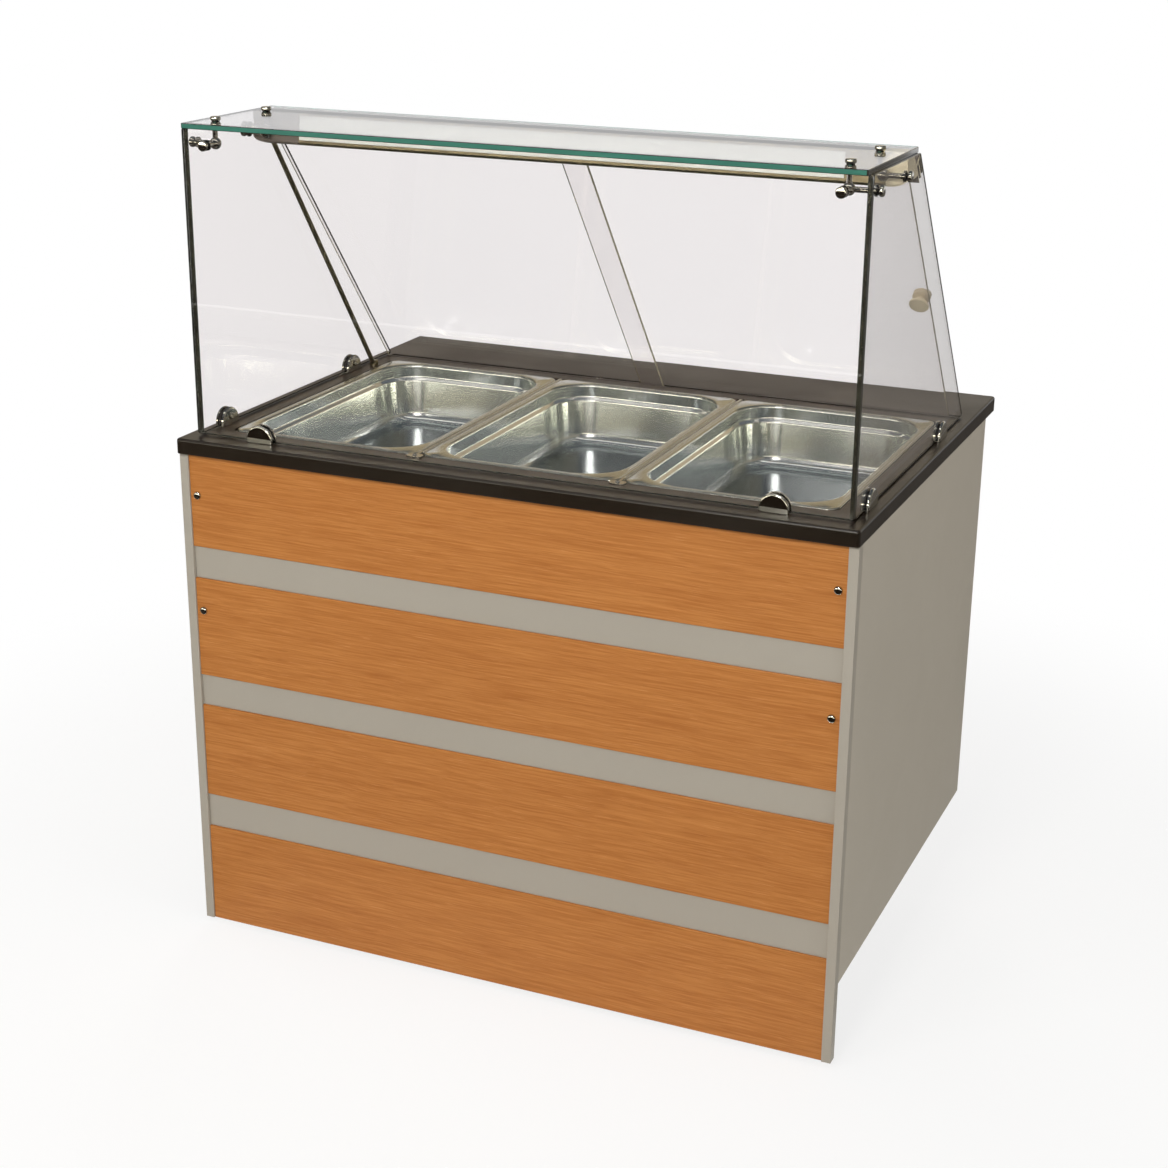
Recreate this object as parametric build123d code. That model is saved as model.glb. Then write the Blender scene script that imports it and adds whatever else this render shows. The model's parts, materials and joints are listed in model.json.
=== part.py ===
"""Hot buffet counter: a heated well with three pans under a glass guard, on a panelled body.

Millimetres. +X to the right seen from the customer side, -Y towards the customer, +Z up.
The origin is on the floor, under the middle of the worktop.
"""
import os
from math import atan2, cos, degrees, sin

from build123d import *

# Worktop
worktop_depth = 816
worktop_thick = 24
worktop_height = 850
worktop_edge_radius = 4
worktop_corner_radius = 6
well_margin = 52.5
rear_overhang = 59

# Pans (gastronorm 1/1) and their seat in the worktop
pan_length = 530
pan_width = 325
pan_depth = 100
pan_count = 3
pan_gap = 7
pan_sheet = 1
pan_rim_width = 14.5
pan_rim_radius = 18
pan_rim_height = 5.5
pan_rim_roll = 2.5
pan_corner_radius = 50
pan_shoulder_drop = 22
pan_shoulder_step = 5
pan_draft = 8
pan_bottom_radius = 16
pan_setback = 80
seat_clearance = 3
seat_depth = 6
seat_ledge = 10
cut_over = 1

# Well tank, heater and drain
tank_sheet = 1.5
tank_depth = 180
tank_clearance = 1
tank_corner_radius = 12
divider_width = 24
divider_height = 6
divider_web = 5
tab_width = 25
tab_reach = 17
tab_thick = 2.5
tab_corner_radius = 5.5
tab_gap = 0.5
tab_screw_radius = 4
heater_radius = 4
heater_lift = 30
heater_margin = 60
heater_bend = 17.5
heater_pitch = 60
heater_tail = 24
heater_plate = (110, 40, 3)
heater_nut = 9
heater_nut_height = 6
heater_fit = 0.3
drain_inset = 186.5
drain_rear_gap = 82
drain_radius = 13
drain_wall = 2
drain_drop = 66
drain_run = 75
drain_bend = 26
valve_length = 56
valve_hex_radius = 19
valve_body_radius = 16
valve_collar = 12
valve_neck_radius = 10
valve_stem_radius = 7
valve_stem_height = 26
outlet_radius = 10.5
outlet_bore = 8
outlet_length = 16
outlet_bore_depth = 34
lever_length = 92
lever_width = 16
lever_thick = 4
lever_hub_radius = 12
grip_length = 46
grip_width = 20
grip_thick = 8
grip_round = 2
lever_fit = 0.05
lever_gap = 0.4

# Glass guard
glass_thick = 8
glass_corner_radius = 4
glass_lift = 2
front_glass_setback = 34
side_glass_inset = 19
guard_margin = 50
guard_height = 480
top_glass_thick = 8
top_glass_setback = 26
top_glass_rear = 281
top_glass_overhang = 10
top_glass_inset = 23
glass_joint = 0.5

# Connectors and clamps on the glass
bolt_shank_radius = 4.5
bolt_fit = 0.5
bolt_neck_radius = 5.5
bolt_head_radius = 8
bolt_neck_height = 3
bolt_head_height = 8
bolt_head_round = 2
hub_radius = 9
arm_radius = 4
arm_foot_radius = 8
arm_foot_thick = 2.5
connector_inset = 32
connector_drop = 24
front_connector_depth = 25
rear_connector_inset = 72
clamp_width = 46
clamp_height = 28
clamp_thick = 20
clamp_round = 3
clamp_pad_thick = 1.5
clamp_pad_margin = 5
front_clamp_inset = 114.5
side_clamp_front = 112
side_clamp_rear = 150
grub_radius = 5
grub_height = 2.5

# Sliding doors and their tracks, in the slanted plane of the side glasses' rear edges
door_thick = 5
door_side_gap = 1
door_overlap = 28
door_right_ajar = 19
door_inset = 1
door_pitch = 10
door_engage = 22
track_fit = 0.6
track_seat_gap = 0.3
lower_track_depth = 12
lower_track_proud = 0.6
lower_track_margin = 5
lower_track_wall = 2
slot_depth = 9
upper_track_wall = 3
upper_track_gap = 1
upper_track_height = 37
upper_slot_depth = 30
knob_edge = 17
knob_height = 283
knob_radius = 14
knob_foot_radius = 9
knob_neck_radius = 7
knob_neck_height = 7.5
knob_belly_height = 11
knob_length = 22
knob_round = 4
knob_disc_radius = 15.5
knob_disc_thick = 3.5
knob_disc_round = 1.2
knob_shank_radius = 4
knob_hole_fit = 0.3

# Lamp and the tube that leads its wires
lamp_reach = 61
lamp_height = 42
lamp_wall = 2
lamp_lip = 8
lamp_chamfer = 4
lamp_window_end = 53
lamp_window_top = 4
lamp_window_fit = 0.3
lamp_cap_length = 30
lamp_cap_round = (28, 12)
lamp_cap_wall = 4
lamp_tube_radius = 8
lamp_tube_back = 17
lamp_tube_rise = 15
lamp_socket_thick = 14
lamp_socket_front = 12
lamp_socket_back = 6
lamp_socket_rise = 12
lamp_socket_drop = 6
conduit_radius = 4
conduit_wall = 1
conduit_inset = 14
conduit_foot_gap = 97
conduit_head_gap = 36
conduit_fit = 0.5
conduit_overrun = 4
conduit_collar_radius = 7.5
conduit_collar_height = 9
conduit_collar_round = 1
conduit_collar_fit = 0.25

# Body
body_inset = 1
panel_thick = 18
stile_width = 15
stile_setback = 7
front_depth = 18
strip_recess = 6
board_proud = 3
board_rebate = 5
board_heights = (153, 166, 160)
strip_heights = (53, 53, 58)
front_clearance = 11
board_screw_drops = (92, 284)
board_screw_inset = 12.5
board_screw_radius = 6.5
board_screw_dome = 4.5
board_screw_shank = 2.5
board_screw_length = 9
board_screw_fit = 0.3
base_height = 138
bracket_leg = 28
bracket_length = 40
bracket_thick = 2.5
bracket_front = 135
bracket_rear = 107

# Control panel at the operator's side
control_height = 120
control_depth = 32
control_sheet = 1.5
control_recess = 5
control_gap = 0.5
control_drop = 58
thermostat_inset = 200.5
thermostat_size = (46, 46)
thermostat_depth = 40
spindle_radius = 3
spindle_fit = 0.05
spindle_hole = 4
spindle_engage = 12
dial_radius = 24
dial_skirt = 5
dial_grip_radius = 18
dial_height = 22
dial_gap = 1
dial_rib = 5
dial_rib_rise = 2
dial_round = 2
switch_insets = (125.5, 80.5)
switch_size = (21, 30)
switch_bezel = 2
switch_depth = 22
switch_body_inset = 1.5
switch_wall = 2
switch_fit = 0.5
rocker_gap = 0.4
rocker_tilt = 9
rocker_crown = 4.5
rocker_dip = 2.25
rocker_end_gap = 0.8
rocker_waist = 5.35
rocker_depth = 6
rocker_pocket = 9
rocker_pin_radius = 1.5
rocker_pin_length = 1.2
rocker_pin_fit = 0.06
pilot_inset = 265.5
pilot_radius = 6
pilot_bezel_radius = 8
pilot_bezel = 2
pilot_dome = 4
pilot_depth = 24
pilot_fit = 0.3
gland_inset = 40.5
gland_drop = 95
gland_radius = 8
gland_bore = 5
gland_nut = 13
gland_nut_height = 6
gland_back_nut = 3
gland_fit = 0.3
gland_length = 24
gland_cap_radius = 11
gland_lip = 2
bulb_inset = 286.5
bulb_radius = 3
bulb_length = 90
bulb_lift = 55
bulb_fit = 0.3
capillary_radius = 1
capillary_bend = 10
bulb_gland_radius = 7
bulb_gland_length = 10

# Levelling feet
foot_front_inset = 77
foot_front_setback = 87
foot_rear_inset = 219
foot_rear_setback = 67
foot_plate = 64
foot_plate_thick = 4
foot_plate_corner = 8
foot_socket_radius = 17
foot_socket_length = 70
foot_stem_radius = 12
foot_stem_fit = 0.3
foot_stem_engage = 50
foot_pad_radius = 24
foot_pad_height = 10
foot_pad_shoulder = 12

# Width of the worktop: the pans side by side in their seat, and a margin beside them
pan_pitch = pan_width + pan_gap
seat_width = (pan_count - 1) * pan_pitch + pan_width + 2 * seat_clearance
worktop_width = seat_width + 2 * well_margin

# Planes and levels that several pieces share
front_y = -worktop_depth / 2
top_z = worktop_height
under_z = top_z - worktop_thick
side_out = worktop_width / 2 - side_glass_inset
side_in = side_out - glass_thick
front_out = front_y + front_glass_setback
front_in = front_out + glass_thick
guard_top = top_z + guard_height
guard_under = guard_top - top_glass_thick
glass_foot = top_z + glass_lift
body_half = worktop_width / 2 - body_inset
body_in = body_half - panel_thick
body_front = front_y + stile_setback
body_rear = worktop_depth / 2 - rear_overhang
carcass_front = body_front + front_depth

# Pan grid and its seat
pan_xs = [(i - (pan_count - 1) / 2) * pan_pitch for i in range(pan_count)]
divider_xs = [(a + b) / 2 for a, b in zip(pan_xs, pan_xs[1:])]
seat_length = pan_length + 2 * seat_clearance
seat_y = front_y + pan_setback + pan_length / 2
seat_z = top_z - seat_depth
hole_width = seat_width - 2 * seat_ledge
hole_length = seat_length - 2 * seat_ledge
flange_z = seat_z + tank_sheet
pan_top = flange_z + pan_rim_height
tank_width = hole_width - 2 * tank_clearance
tank_length = hole_length - 2 * tank_clearance
tank_floor = flange_z - tank_depth
tank_rear = seat_y + tank_length / 2
drain_x = tank_width / 2 - drain_inset
bulb_x = tank_width / 2 - bulb_inset

# Slanted plane: local X across, local Y up the slope, local Z towards the customer
side_glass_foot = pan_setback + pan_length + guard_margin
slope_head = top_glass_rear - top_glass_overhang
slope = atan2(side_glass_foot - slope_head, guard_height)
slope_foot_y = front_y + side_glass_foot
slope_plane = Plane(
    origin=(0, slope_foot_y, top_z), x_dir=(1, 0, 0), z_dir=(0, -cos(slope), -sin(slope))
)
rear_door = door_inset
front_door = door_inset + door_pitch
track_back = rear_door - track_fit - upper_track_wall
track_face = front_door + door_thick + track_fit + upper_track_wall
track_head = (guard_height - top_glass_thick - upper_track_gap + track_back * sin(slope)) / cos(slope)
upper_track_foot = track_head - upper_track_height
door_top = upper_track_foot + door_engage

# Control panel face
control_face = body_rear - control_recess
control_inner = control_face - control_sheet
control_z = under_z - control_drop
control_end = body_in - control_gap
thermostat_x = control_end - thermostat_inset
pilot_x = control_end - pilot_inset
gland_x = control_end - gland_inset
gland_z = under_z - gland_drop
switch_xs = [control_end - inset for inset in switch_insets]


def block(x, y, z):
    """A box between pairs of limits."""
    sizes = [limits[1] - limits[0] for limits in (x, y, z)]
    return Pos(x[0], y[0], z[0]) * Box(*sizes, align=(Align.MIN, Align.MIN, Align.MIN))


def rod(start, end, radius):
    """A round bar from one point to another."""
    line = Vector(*end) - Vector(*start)
    seat = Plane(origin=start, z_dir=line)
    return seat * Cylinder(radius, line.length, align=(Align.CENTER, Align.CENTER, Align.MIN))


def prism_x(points, x0, x1, corner=0):
    """An outline in Y and Z, drawn out along X."""
    outline = Polygon(*points, align=None)
    if corner:
        outline = fillet(outline.vertices(), corner)
    return extrude(Plane.YZ.offset(x0) * outline, x1 - x0, dir=(1, 0, 0))


def turned(points, place):
    """A profile of (radius, height) points turned about the Z axis of a plane."""
    outline = make_face(Polyline(*points, close=True))
    return place * revolve(Plane.XZ * outline, Axis.Z)


def slope_block(x, s, f):
    """A box between limits across, up the slope and towards the customer."""
    return slope_plane * block(x, s, f)


def slope_point(x, s, f):
    """A point given across, up the slope and towards the customer."""
    return slope_plane.from_local_coords(Vector(x, s, f))


def slope_y(z, f):
    """The Y where a plane that lies f in front of the slanted plane passes level z."""
    return slope_foot_y - (f + (z - top_z) * sin(slope)) / cos(slope)


def facing(origin, normal):
    """A plane at a point, with its Z along a direction."""
    return Plane(origin=origin, z_dir=normal)


# Lamp section, shared by its housing, end caps and the rear connectors
lamp_front = front_y + top_glass_rear - lamp_reach
lamp_foot = guard_under - lamp_height


def lamp_outline(wall):
    """The lamp's section, moved in by a wall: upright front, slanted back against the track."""
    back = track_face + wall
    low = lamp_foot + wall
    high = guard_under - wall
    front = lamp_front + wall
    return [
        (front, low + lamp_chamfer),
        (front + lamp_chamfer, low),
        (slope_y(low, back), low),
        (slope_y(high, back), high),
        (front, high),
    ]


lamp_end = side_in - door_side_gap
lamp_body_end = lamp_end - lamp_cap_length
lamp_tube_y = lamp_front + lamp_tube_back
lamp_tube_z = lamp_foot + lamp_tube_rise

# Axis of the wire tube, from the worktop to the lamp's underside
conduit_x = side_in - conduit_inset
conduit_low = Vector(-conduit_x, slope_foot_y - conduit_foot_gap, top_z)
conduit_high = Vector(-conduit_x, lamp_front + conduit_head_gap, lamp_foot)
conduit_way = (conduit_high - conduit_low).normalized()
conduit_start = conduit_low - conduit_way * ((worktop_thick + conduit_overrun) / conduit_way.Z)
conduit_rise = lamp_cap_round[1] + lamp_cap_wall + conduit_overrun
conduit_end = conduit_high + conduit_way * (conduit_rise / conduit_way.Z)

# Connector centres: the hub's place from the panes that it holds, and its arms
connector_x = side_in - connector_inset
connector_z = guard_under - connector_drop


def connector_points(side, y, three_way):
    """Hub centre, and for each arm the inner glass face it meets, its direction and the glass."""
    hub = (side * connector_x, y, connector_z)
    arms = [
        ((hub[0], y, guard_under), (0, 0, 1), top_glass_thick),
        ((side * side_in, y, connector_z), (side, 0, 0), glass_thick),
    ]
    if three_way:
        arms.append(((hub[0], front_in, connector_z), (0, -1, 0), glass_thick))
    return hub, arms


front_connector_y = front_in + front_connector_depth
rear_connector_y = front_y + top_glass_rear - rear_connector_inset
connectors = {
    "front": [connector_points(side, front_connector_y, True) for side in (-1, 1)],
    "rear": [connector_points(side, rear_connector_y, False) for side in (-1, 1)],
}


def bolt_holes():
    """The round holes that the connector bolts need in the glass."""
    holes = []
    for hub, arms in connectors["front"] + connectors["rear"]:
        for foot, way, thick in arms:
            start = Vector(*foot) - Vector(*way) * cut_over
            end = Vector(*foot) + Vector(*way) * (thick + cut_over)
            holes.append(rod(start, end, bolt_shank_radius + bolt_fit))
    return holes


def drilled(pane):
    """A glass pane with the bolt holes that fall in it."""
    for hole in bolt_holes():
        pane = pane - hole
    return pane


# Worktop and well

def worktop():
    slab = Pos(0, 0, under_z) * extrude(
        RectangleRounded(worktop_width, worktop_depth, worktop_corner_radius), worktop_thick
    )
    slab = fillet(slab.faces().sort_by(Axis.Z)[-1].edges(), worktop_edge_radius)
    seat = Pos(0, seat_y, seat_z) * extrude(
        RectangleRounded(seat_width, seat_length, pan_rim_radius), worktop_thick
    )
    hole = Pos(0, seat_y, under_z - cut_over) * extrude(
        RectangleRounded(hole_width, hole_length, tank_corner_radius), worktop_thick
    )
    groove = block(
        (-lower_track_end, lower_track_end), lower_track_y, (lower_track_z, top_z + cut_over)
    )
    wire_hole = rod(
        conduit_start, conduit_low + conduit_way * worktop_thick, conduit_radius + conduit_fit
    )
    return slab - seat - hole - groove - wire_hole


def well_tank():
    flange = Pos(0, seat_y, seat_z) * extrude(
        RectangleRounded(
            seat_width - 2 * tank_clearance, seat_length - 2 * tank_clearance, pan_rim_radius
        ),
        tank_sheet,
    )
    tub = Pos(0, seat_y, tank_floor - tank_sheet) * extrude(
        RectangleRounded(tank_width, tank_length, tank_corner_radius), tank_depth + tank_sheet
    )
    tub = fillet(tub.edges().group_by(Axis.Z)[0], tank_corner_radius - tank_sheet)
    inside = Pos(0, seat_y, tank_floor) * extrude(
        RectangleRounded(
            tank_width - 2 * tank_sheet,
            tank_length - 2 * tank_sheet,
            tank_corner_radius - tank_sheet,
        ),
        tank_depth + cut_over,
    )
    inside = fillet(inside.edges().group_by(Axis.Z)[0], tank_corner_radius - 2 * tank_sheet)
    tank = flange + tub - inside
    tank -= rod(
        (drain_x, drain_y, tank_floor - tank_sheet - cut_over),
        (drain_x, drain_y, tank_floor + cut_over),
        drain_radius - drain_wall,
    )
    for x in heater_ends:
        tank -= rod(
            (x, tank_rear - tank_sheet - cut_over, heater_z),
            (x, tank_rear + cut_over, heater_z),
            heater_radius + heater_fit,
        )
    tank -= rod(
        (bulb_x, tank_rear - tank_sheet - cut_over, bulb_z),
        (bulb_x, tank_rear + cut_over, bulb_z),
        bulb_radius + bulb_fit,
    )
    return tank


def pan_form(grow, top):
    """The pan's drawn hollow, larger by the sheet for its outside: mouth, shoulder and body."""
    floor = -pan_depth - grow
    ledge = -pan_shoulder_drop - grow
    waist = ledge - pan_shoulder_step
    drawn = [(top, ledge, 0, 0), (ledge, waist, 0, pan_shoulder_step)]
    drawn.append((waist, floor, pan_shoulder_step, pan_draft))
    form = Part()
    for high, low, inset, lean in drawn:
        outline = RectangleRounded(
            pan_width - 2 * (pan_rim_width + inset - grow),
            pan_length - 2 * (pan_rim_width + inset - grow),
            pan_corner_radius - inset + grow,
        )
        taper = degrees(atan2(lean, high - low))
        form += Pos(0, 0, high) * extrude(outline, high - low, dir=(0, 0, -1), taper=taper)
    return fillet(form.edges().group_by(Axis.Z)[0], pan_bottom_radius + grow)


def pan(x):
    rim = Pos(0, 0, -pan_rim_height) * extrude(
        RectangleRounded(pan_width, pan_length, pan_rim_radius), pan_rim_height
    )
    rim = fillet(rim.edges().group_by(Axis.Z)[-1], pan_rim_roll)
    under_rim = Pos(0, 0, -pan_rim_height) * extrude(
        RectangleRounded(
            pan_width - 2 * pan_sheet, pan_length - 2 * pan_sheet, pan_rim_radius - pan_sheet
        ),
        pan_rim_height - pan_sheet,
    )
    under_rim = fillet(under_rim.edges().group_by(Axis.Z)[-1], pan_rim_roll - pan_sheet)
    tray = rim - under_rim + pan_form(pan_sheet, -pan_sheet / 2) - pan_form(0, cut_over)
    return Pos(x, seat_y, pan_top) * tray


def divider_bars():
    """Inverted T bars that carry the pans' long rims, hung on the tank's flange at both ends."""
    bars = []
    base_reach = tank_length / 2 - tank_sheet - tank_clearance
    web_reach = seat_length / 2 - tank_clearance
    for x in divider_xs:
        base = block(
            (x - divider_width / 2, x + divider_width / 2),
            (seat_y - base_reach, seat_y + base_reach),
            (flange_z - divider_height, flange_z),
        )
        web = block(
            (x - divider_web / 2, x + divider_web / 2),
            (seat_y - web_reach, seat_y + web_reach),
            (flange_z, top_z),
        )
        bars.append(base + web)
    return bars


def divider_tabs():
    """Rounded tabs that hold the front ends of the divider bars down on the worktop."""
    tabs = []
    rear = seat_y - seat_length / 2 + seat_clearance - tab_gap
    for x in divider_xs:
        plate = Pos(x, rear - tab_reach / 2, top_z) * extrude(
            RectangleRounded(tab_width, tab_reach, tab_corner_radius), tab_thick
        )
        tongue = block(
            (x - divider_web / 2, x + divider_web / 2),
            (rear - tab_thick, rear + tab_reach),
            (top_z, top_z + tab_thick),
        )
        head = Pos(x, rear - tab_reach / 2, top_z + tab_thick) * dome(tab_screw_radius, tab_thick)
        tabs.append(plate + tongue + head)
    return tabs


def dome(radius, height):
    """A low dome standing on Z = 0."""
    ball = (radius**2 + height**2) / (2 * height)
    cap = Pos(0, 0, height - ball) * Sphere(ball)
    return cap & Cylinder(2 * radius, height, align=(Align.CENTER, Align.CENTER, Align.MIN))


heater_z = tank_floor + heater_lift
heater_ends = (-heater_pitch / 2, heater_pitch / 2)
drain_y = tank_rear - drain_rear_gap
drain_z = tank_floor - tank_sheet - drain_drop
bulb_z = tank_floor + bulb_lift


def heater_element():
    """A tubular loop round the tank's floor, with both ends out through the rear wall."""
    wide = tank_width / 2 - heater_margin
    near = tank_rear - heater_margin
    far = seat_y - tank_length / 2 + heater_margin
    tail = tank_rear + heater_tail
    left, right = heater_ends
    route = [
        (left, tail), (left, near), (-wide, near), (-wide, far),
        (wide, far), (wide, near), (right, near), (right, tail),
    ]
    path = FilletPolyline(*[(x, y, heater_z) for x, y in route], radius=heater_bend)
    return sweep(facing(path @ 0, path % 0) * Circle(heater_radius), path)


def heater_flange():
    """Clamp plate outside the tank's rear wall, and the two nuts on the heater's tails."""
    wide, high, thick = heater_plate
    plate = block(
        (-wide / 2, wide / 2),
        (tank_rear, tank_rear + thick),
        (heater_z - high / 2, heater_z + high / 2),
    )
    pieces = []
    for x in heater_ends:
        bore = rod(
            (x, tank_rear - cut_over, heater_z),
            (x, tank_rear + heater_tail, heater_z),
            heater_radius + heater_fit,
        )
        plate -= bore
        nut = facing((x, tank_rear + thick, heater_z), (0, 1, 0)) * extrude(
            RegularPolygon(heater_nut, 6), heater_nut_height
        )
        pieces.append(nut - bore)
    return [plate] + pieces


def thermostat_bulb():
    """The bulb in the water, its gland in the tank's wall and the capillary to the thermostat."""
    wall = tank_rear - tank_sheet
    gland_end = tank_rear + bulb_gland_length
    bulb = rod((bulb_x, wall - bulb_length, bulb_z), (bulb_x, gland_end, bulb_z), bulb_radius)
    gland = rod((bulb_x, tank_rear, bulb_z), (bulb_x, gland_end, bulb_z), bulb_gland_radius)
    body_rear_y = control_inner - thermostat_depth
    turn_y = (gland_end + body_rear_y) / 2
    path = FilletPolyline(
        (bulb_x, gland_end - cut_over, bulb_z),
        (bulb_x, turn_y, bulb_z),
        (bulb_x, turn_y, control_z),
        (thermostat_x, turn_y, control_z),
        (thermostat_x, body_rear_y, control_z),
        radius=min(capillary_bend, (body_rear_y - gland_end) / 4),
    )
    capillary = sweep(facing(path @ 0, path % 0) * Circle(capillary_radius), path)
    return bulb + gland + capillary


def drain_pipe():
    """Outlet elbow from the tank's floor towards the operator's side."""
    path = FilletPolyline(
        (drain_x, drain_y, tank_floor - tank_sheet),
        (drain_x, drain_y, drain_z),
        (drain_x, drain_y + drain_run, drain_z),
        radius=drain_bend,
    )
    start = facing(path @ 0, path % 0)
    return sweep(start * Circle(drain_radius), path) - sweep(
        start * Circle(drain_radius - drain_wall), path
    )


valve_start = drain_y + drain_run
valve_mid = valve_start + valve_length / 2
valve_end = valve_start + valve_length
lever_z = drain_z + valve_stem_height


def drain_valve():
    """Ball valve: round body, hexagon collars, stem neck and a threaded-size outlet."""
    body = rod(
        (drain_x, valve_start, drain_z), (drain_x, valve_end, drain_z), valve_body_radius
    )
    for y in (valve_start, valve_end - valve_collar):
        body += facing((drain_x, y, drain_z), (0, 1, 0)) * extrude(
            RegularPolygon(valve_hex_radius, 6), valve_collar
        )
    body += rod(
        (drain_x, valve_mid, drain_z), (drain_x, valve_mid, lever_z - lever_gap), valve_neck_radius
    )
    body += rod(
        (drain_x, valve_mid, drain_z),
        (drain_x, valve_mid, lever_z + lever_thick + lever_gap),
        valve_stem_radius,
    )
    outlet_end = valve_end + outlet_length
    body += rod((drain_x, valve_mid, drain_z), (drain_x, outlet_end, drain_z), outlet_radius)
    return body - rod(
        (drain_x, outlet_end - outlet_bore_depth, drain_z),
        (drain_x, outlet_end + cut_over, drain_z),
        outlet_bore,
    )


def drain_lever():
    """Flat lever on the valve's stem, with a thicker grip at its free end."""
    hub = Cylinder(lever_hub_radius, lever_thick, align=(Align.CENTER, Align.CENTER, Align.MIN))
    arm = Pos(-lever_length / 2, 0, 0) * extrude(
        SlotOverall(lever_length + lever_width, lever_width), lever_thick
    )
    grip = Pos(-lever_length + grip_length / 2, 0, (lever_thick - grip_thick) / 2) * extrude(
        SlotOverall(grip_length + lever_width, grip_width), grip_thick
    )
    levels = grip.edges().group_by(Axis.Z)
    grip = chamfer(levels[0] + levels[-1], grip_round)
    stem = Cylinder(valve_stem_radius + lever_fit, 2 * (lever_thick + cut_over))
    return Pos(drain_x, valve_mid, lever_z) * (hub + arm + grip - stem)


# Glass guard

def front_glass():
    outline = fillet(
        Rectangle(2 * side_out, guard_under - glass_foot).vertices(), glass_corner_radius
    )
    place = Plane(
        origin=(0, front_in, (guard_under + glass_foot) / 2), x_dir=(1, 0, 0), z_dir=(0, -1, 0)
    )
    return drilled(extrude(place * outline, glass_thick))


def side_glass(side):
    front = front_in + glass_joint
    outline = [
        (front, glass_foot),
        (slope_y(glass_foot, 0), glass_foot),
        (slope_y(guard_under, 0), guard_under),
        (front, guard_under),
    ]
    inner, outer = sorted((side * side_in, side * side_out))
    return drilled(prism_x(outline, inner, outer, glass_corner_radius))


def top_glass():
    width = worktop_width - 2 * top_glass_inset
    depth = top_glass_rear - top_glass_setback
    sheet = RectangleRounded(width, depth, glass_corner_radius)
    middle = front_y + (top_glass_rear + top_glass_setback) / 2
    return drilled(Pos(0, middle, guard_under) * extrude(sheet, top_glass_thick))


def connector(hub, arms):
    """Chrome hub with one arm to each glass pane that it holds."""
    body = Pos(*hub) * Sphere(hub_radius)
    for foot, way, thick in arms:
        body += rod(hub, Vector(*foot), arm_radius)
        body += rod(Vector(*foot) - Vector(*way) * arm_foot_thick, Vector(*foot), arm_foot_radius)
    return body


def bolt(foot, way, thick):
    """Mushroom bolt through a pane: a shank in the hole, a neck and a rounded head outside."""
    head = turned(
        [
            (0, 0),
            (bolt_shank_radius, 0),
            (bolt_shank_radius, thick),
            (bolt_neck_radius, thick),
            (bolt_head_radius, thick + bolt_neck_height),
            (bolt_head_radius, thick + bolt_head_height - bolt_head_round),
            (bolt_head_radius - bolt_head_round, thick + bolt_head_height),
            (0, thick + bolt_head_height),
        ],
        facing(foot, way),
    )
    return head


def connector_bolts():
    return [
        bolt(foot, way, thick)
        for hub, arms in connectors["front"] + connectors["rear"]
        for foot, way, thick in arms
    ]


def clamp_shape(width, height, thick):
    """A D-shaped block standing on Z = 0, flat faces to the front and back."""
    radius = width / 2
    outline = Pos(0, (height - radius) / 2) * Rectangle(width, height - radius)
    outline += Pos(0, height - radius) * Circle(radius)
    outline = outline & Pos(0, height / 2) * Rectangle(width, height)
    return extrude(Plane.XZ * outline, thick / 2, both=True)


front_clamp_x = side_out - front_clamp_inset
front_clamp_places = [
    Pos(side * front_clamp_x, front_out + glass_thick / 2, top_z) * Rot(0, 0, 180) for side in (-1, 1)
]
side_clamp_ys = (front_y + side_clamp_front, slope_foot_y - side_clamp_rear)
side_clamp_places = [
    Pos(side * (side_out - glass_thick / 2), y, top_z) * Rot(0, 0, -90 * side)
    for side in (-1, 1)
    for y in side_clamp_ys
]


def clamp():
    """D clamp with a slot for the glass and its pads; local -Y is the inner side of the guard."""
    body = clamp_shape(clamp_width, clamp_height, clamp_thick)
    rims = body.faces().filter_by(Axis.Y).edges()
    foot = body.edges().group_by(Axis.Z)[0]
    body = fillet([edge for edge in rims if edge not in foot], clamp_round)
    slot = glass_thick + 2 * clamp_pad_thick
    return body - block(
        (-clamp_width, clamp_width), (-slot / 2, slot / 2), (glass_lift, clamp_height + cut_over)
    )


def clamp_pads(place):
    """The two rubber pads between the glass and the clamp's cheeks."""
    pads = []
    for side in (-1, 1):
        pad = clamp_shape(
            clamp_width - 2 * clamp_pad_margin,
            clamp_height - glass_lift - clamp_pad_margin,
            clamp_pad_thick,
        )
        offset = side * (glass_thick + clamp_pad_thick) / 2
        pads.append(place * Pos(0, offset, glass_lift) * pad)
    return pads


def clamp_screw(place):
    """Dome-headed grub screw on the clamp's inner cheek."""
    seat = Plane(origin=(0, -clamp_thick / 2, clamp_height / 2), z_dir=(0, -1, 0))
    return place * (seat * dome(grub_radius, grub_height))


# Sliding doors

door_reach = side_in - door_side_gap
door_width = door_reach + door_overlap / 2
left_door_x = (-door_reach, -door_reach + door_width)
right_door_x = (door_reach - door_right_ajar - door_width, door_reach - door_right_ajar)
knob_x = right_door_x[1] - knob_edge
lower_track_end = side_in - door_side_gap
lower_track_z = top_z - lower_track_depth


def slot_floor(depth):
    """How far up the slope the floor of a door's slot lies, its lowest edge slot_depth down."""
    return ((depth + door_thick + track_fit) * sin(slope) - slot_depth) / cos(slope)


lower_track_y = (
    slope_y(top_z, front_door + door_thick) - lower_track_margin,
    slope_point(0, slot_floor(rear_door), rear_door - track_fit).Y + lower_track_wall,
)


def door(x, depth):
    return slope_block(
        x, (slot_floor(depth) + track_seat_gap, door_top), (depth, depth + door_thick)
    )


def door_right():
    hole = rod(
        slope_point(knob_x, knob_height, 0),
        slope_point(knob_x, knob_height, 2 * door_thick),
        knob_shank_radius + knob_hole_fit,
    )
    return door(right_door_x, rear_door) - hole


def knob_place(depth):
    """Plane on the right door at its knob, facing the operator."""
    return facing(
        slope_point(knob_x, knob_height, depth), (0, cos(slope), sin(slope))
    )


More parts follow.
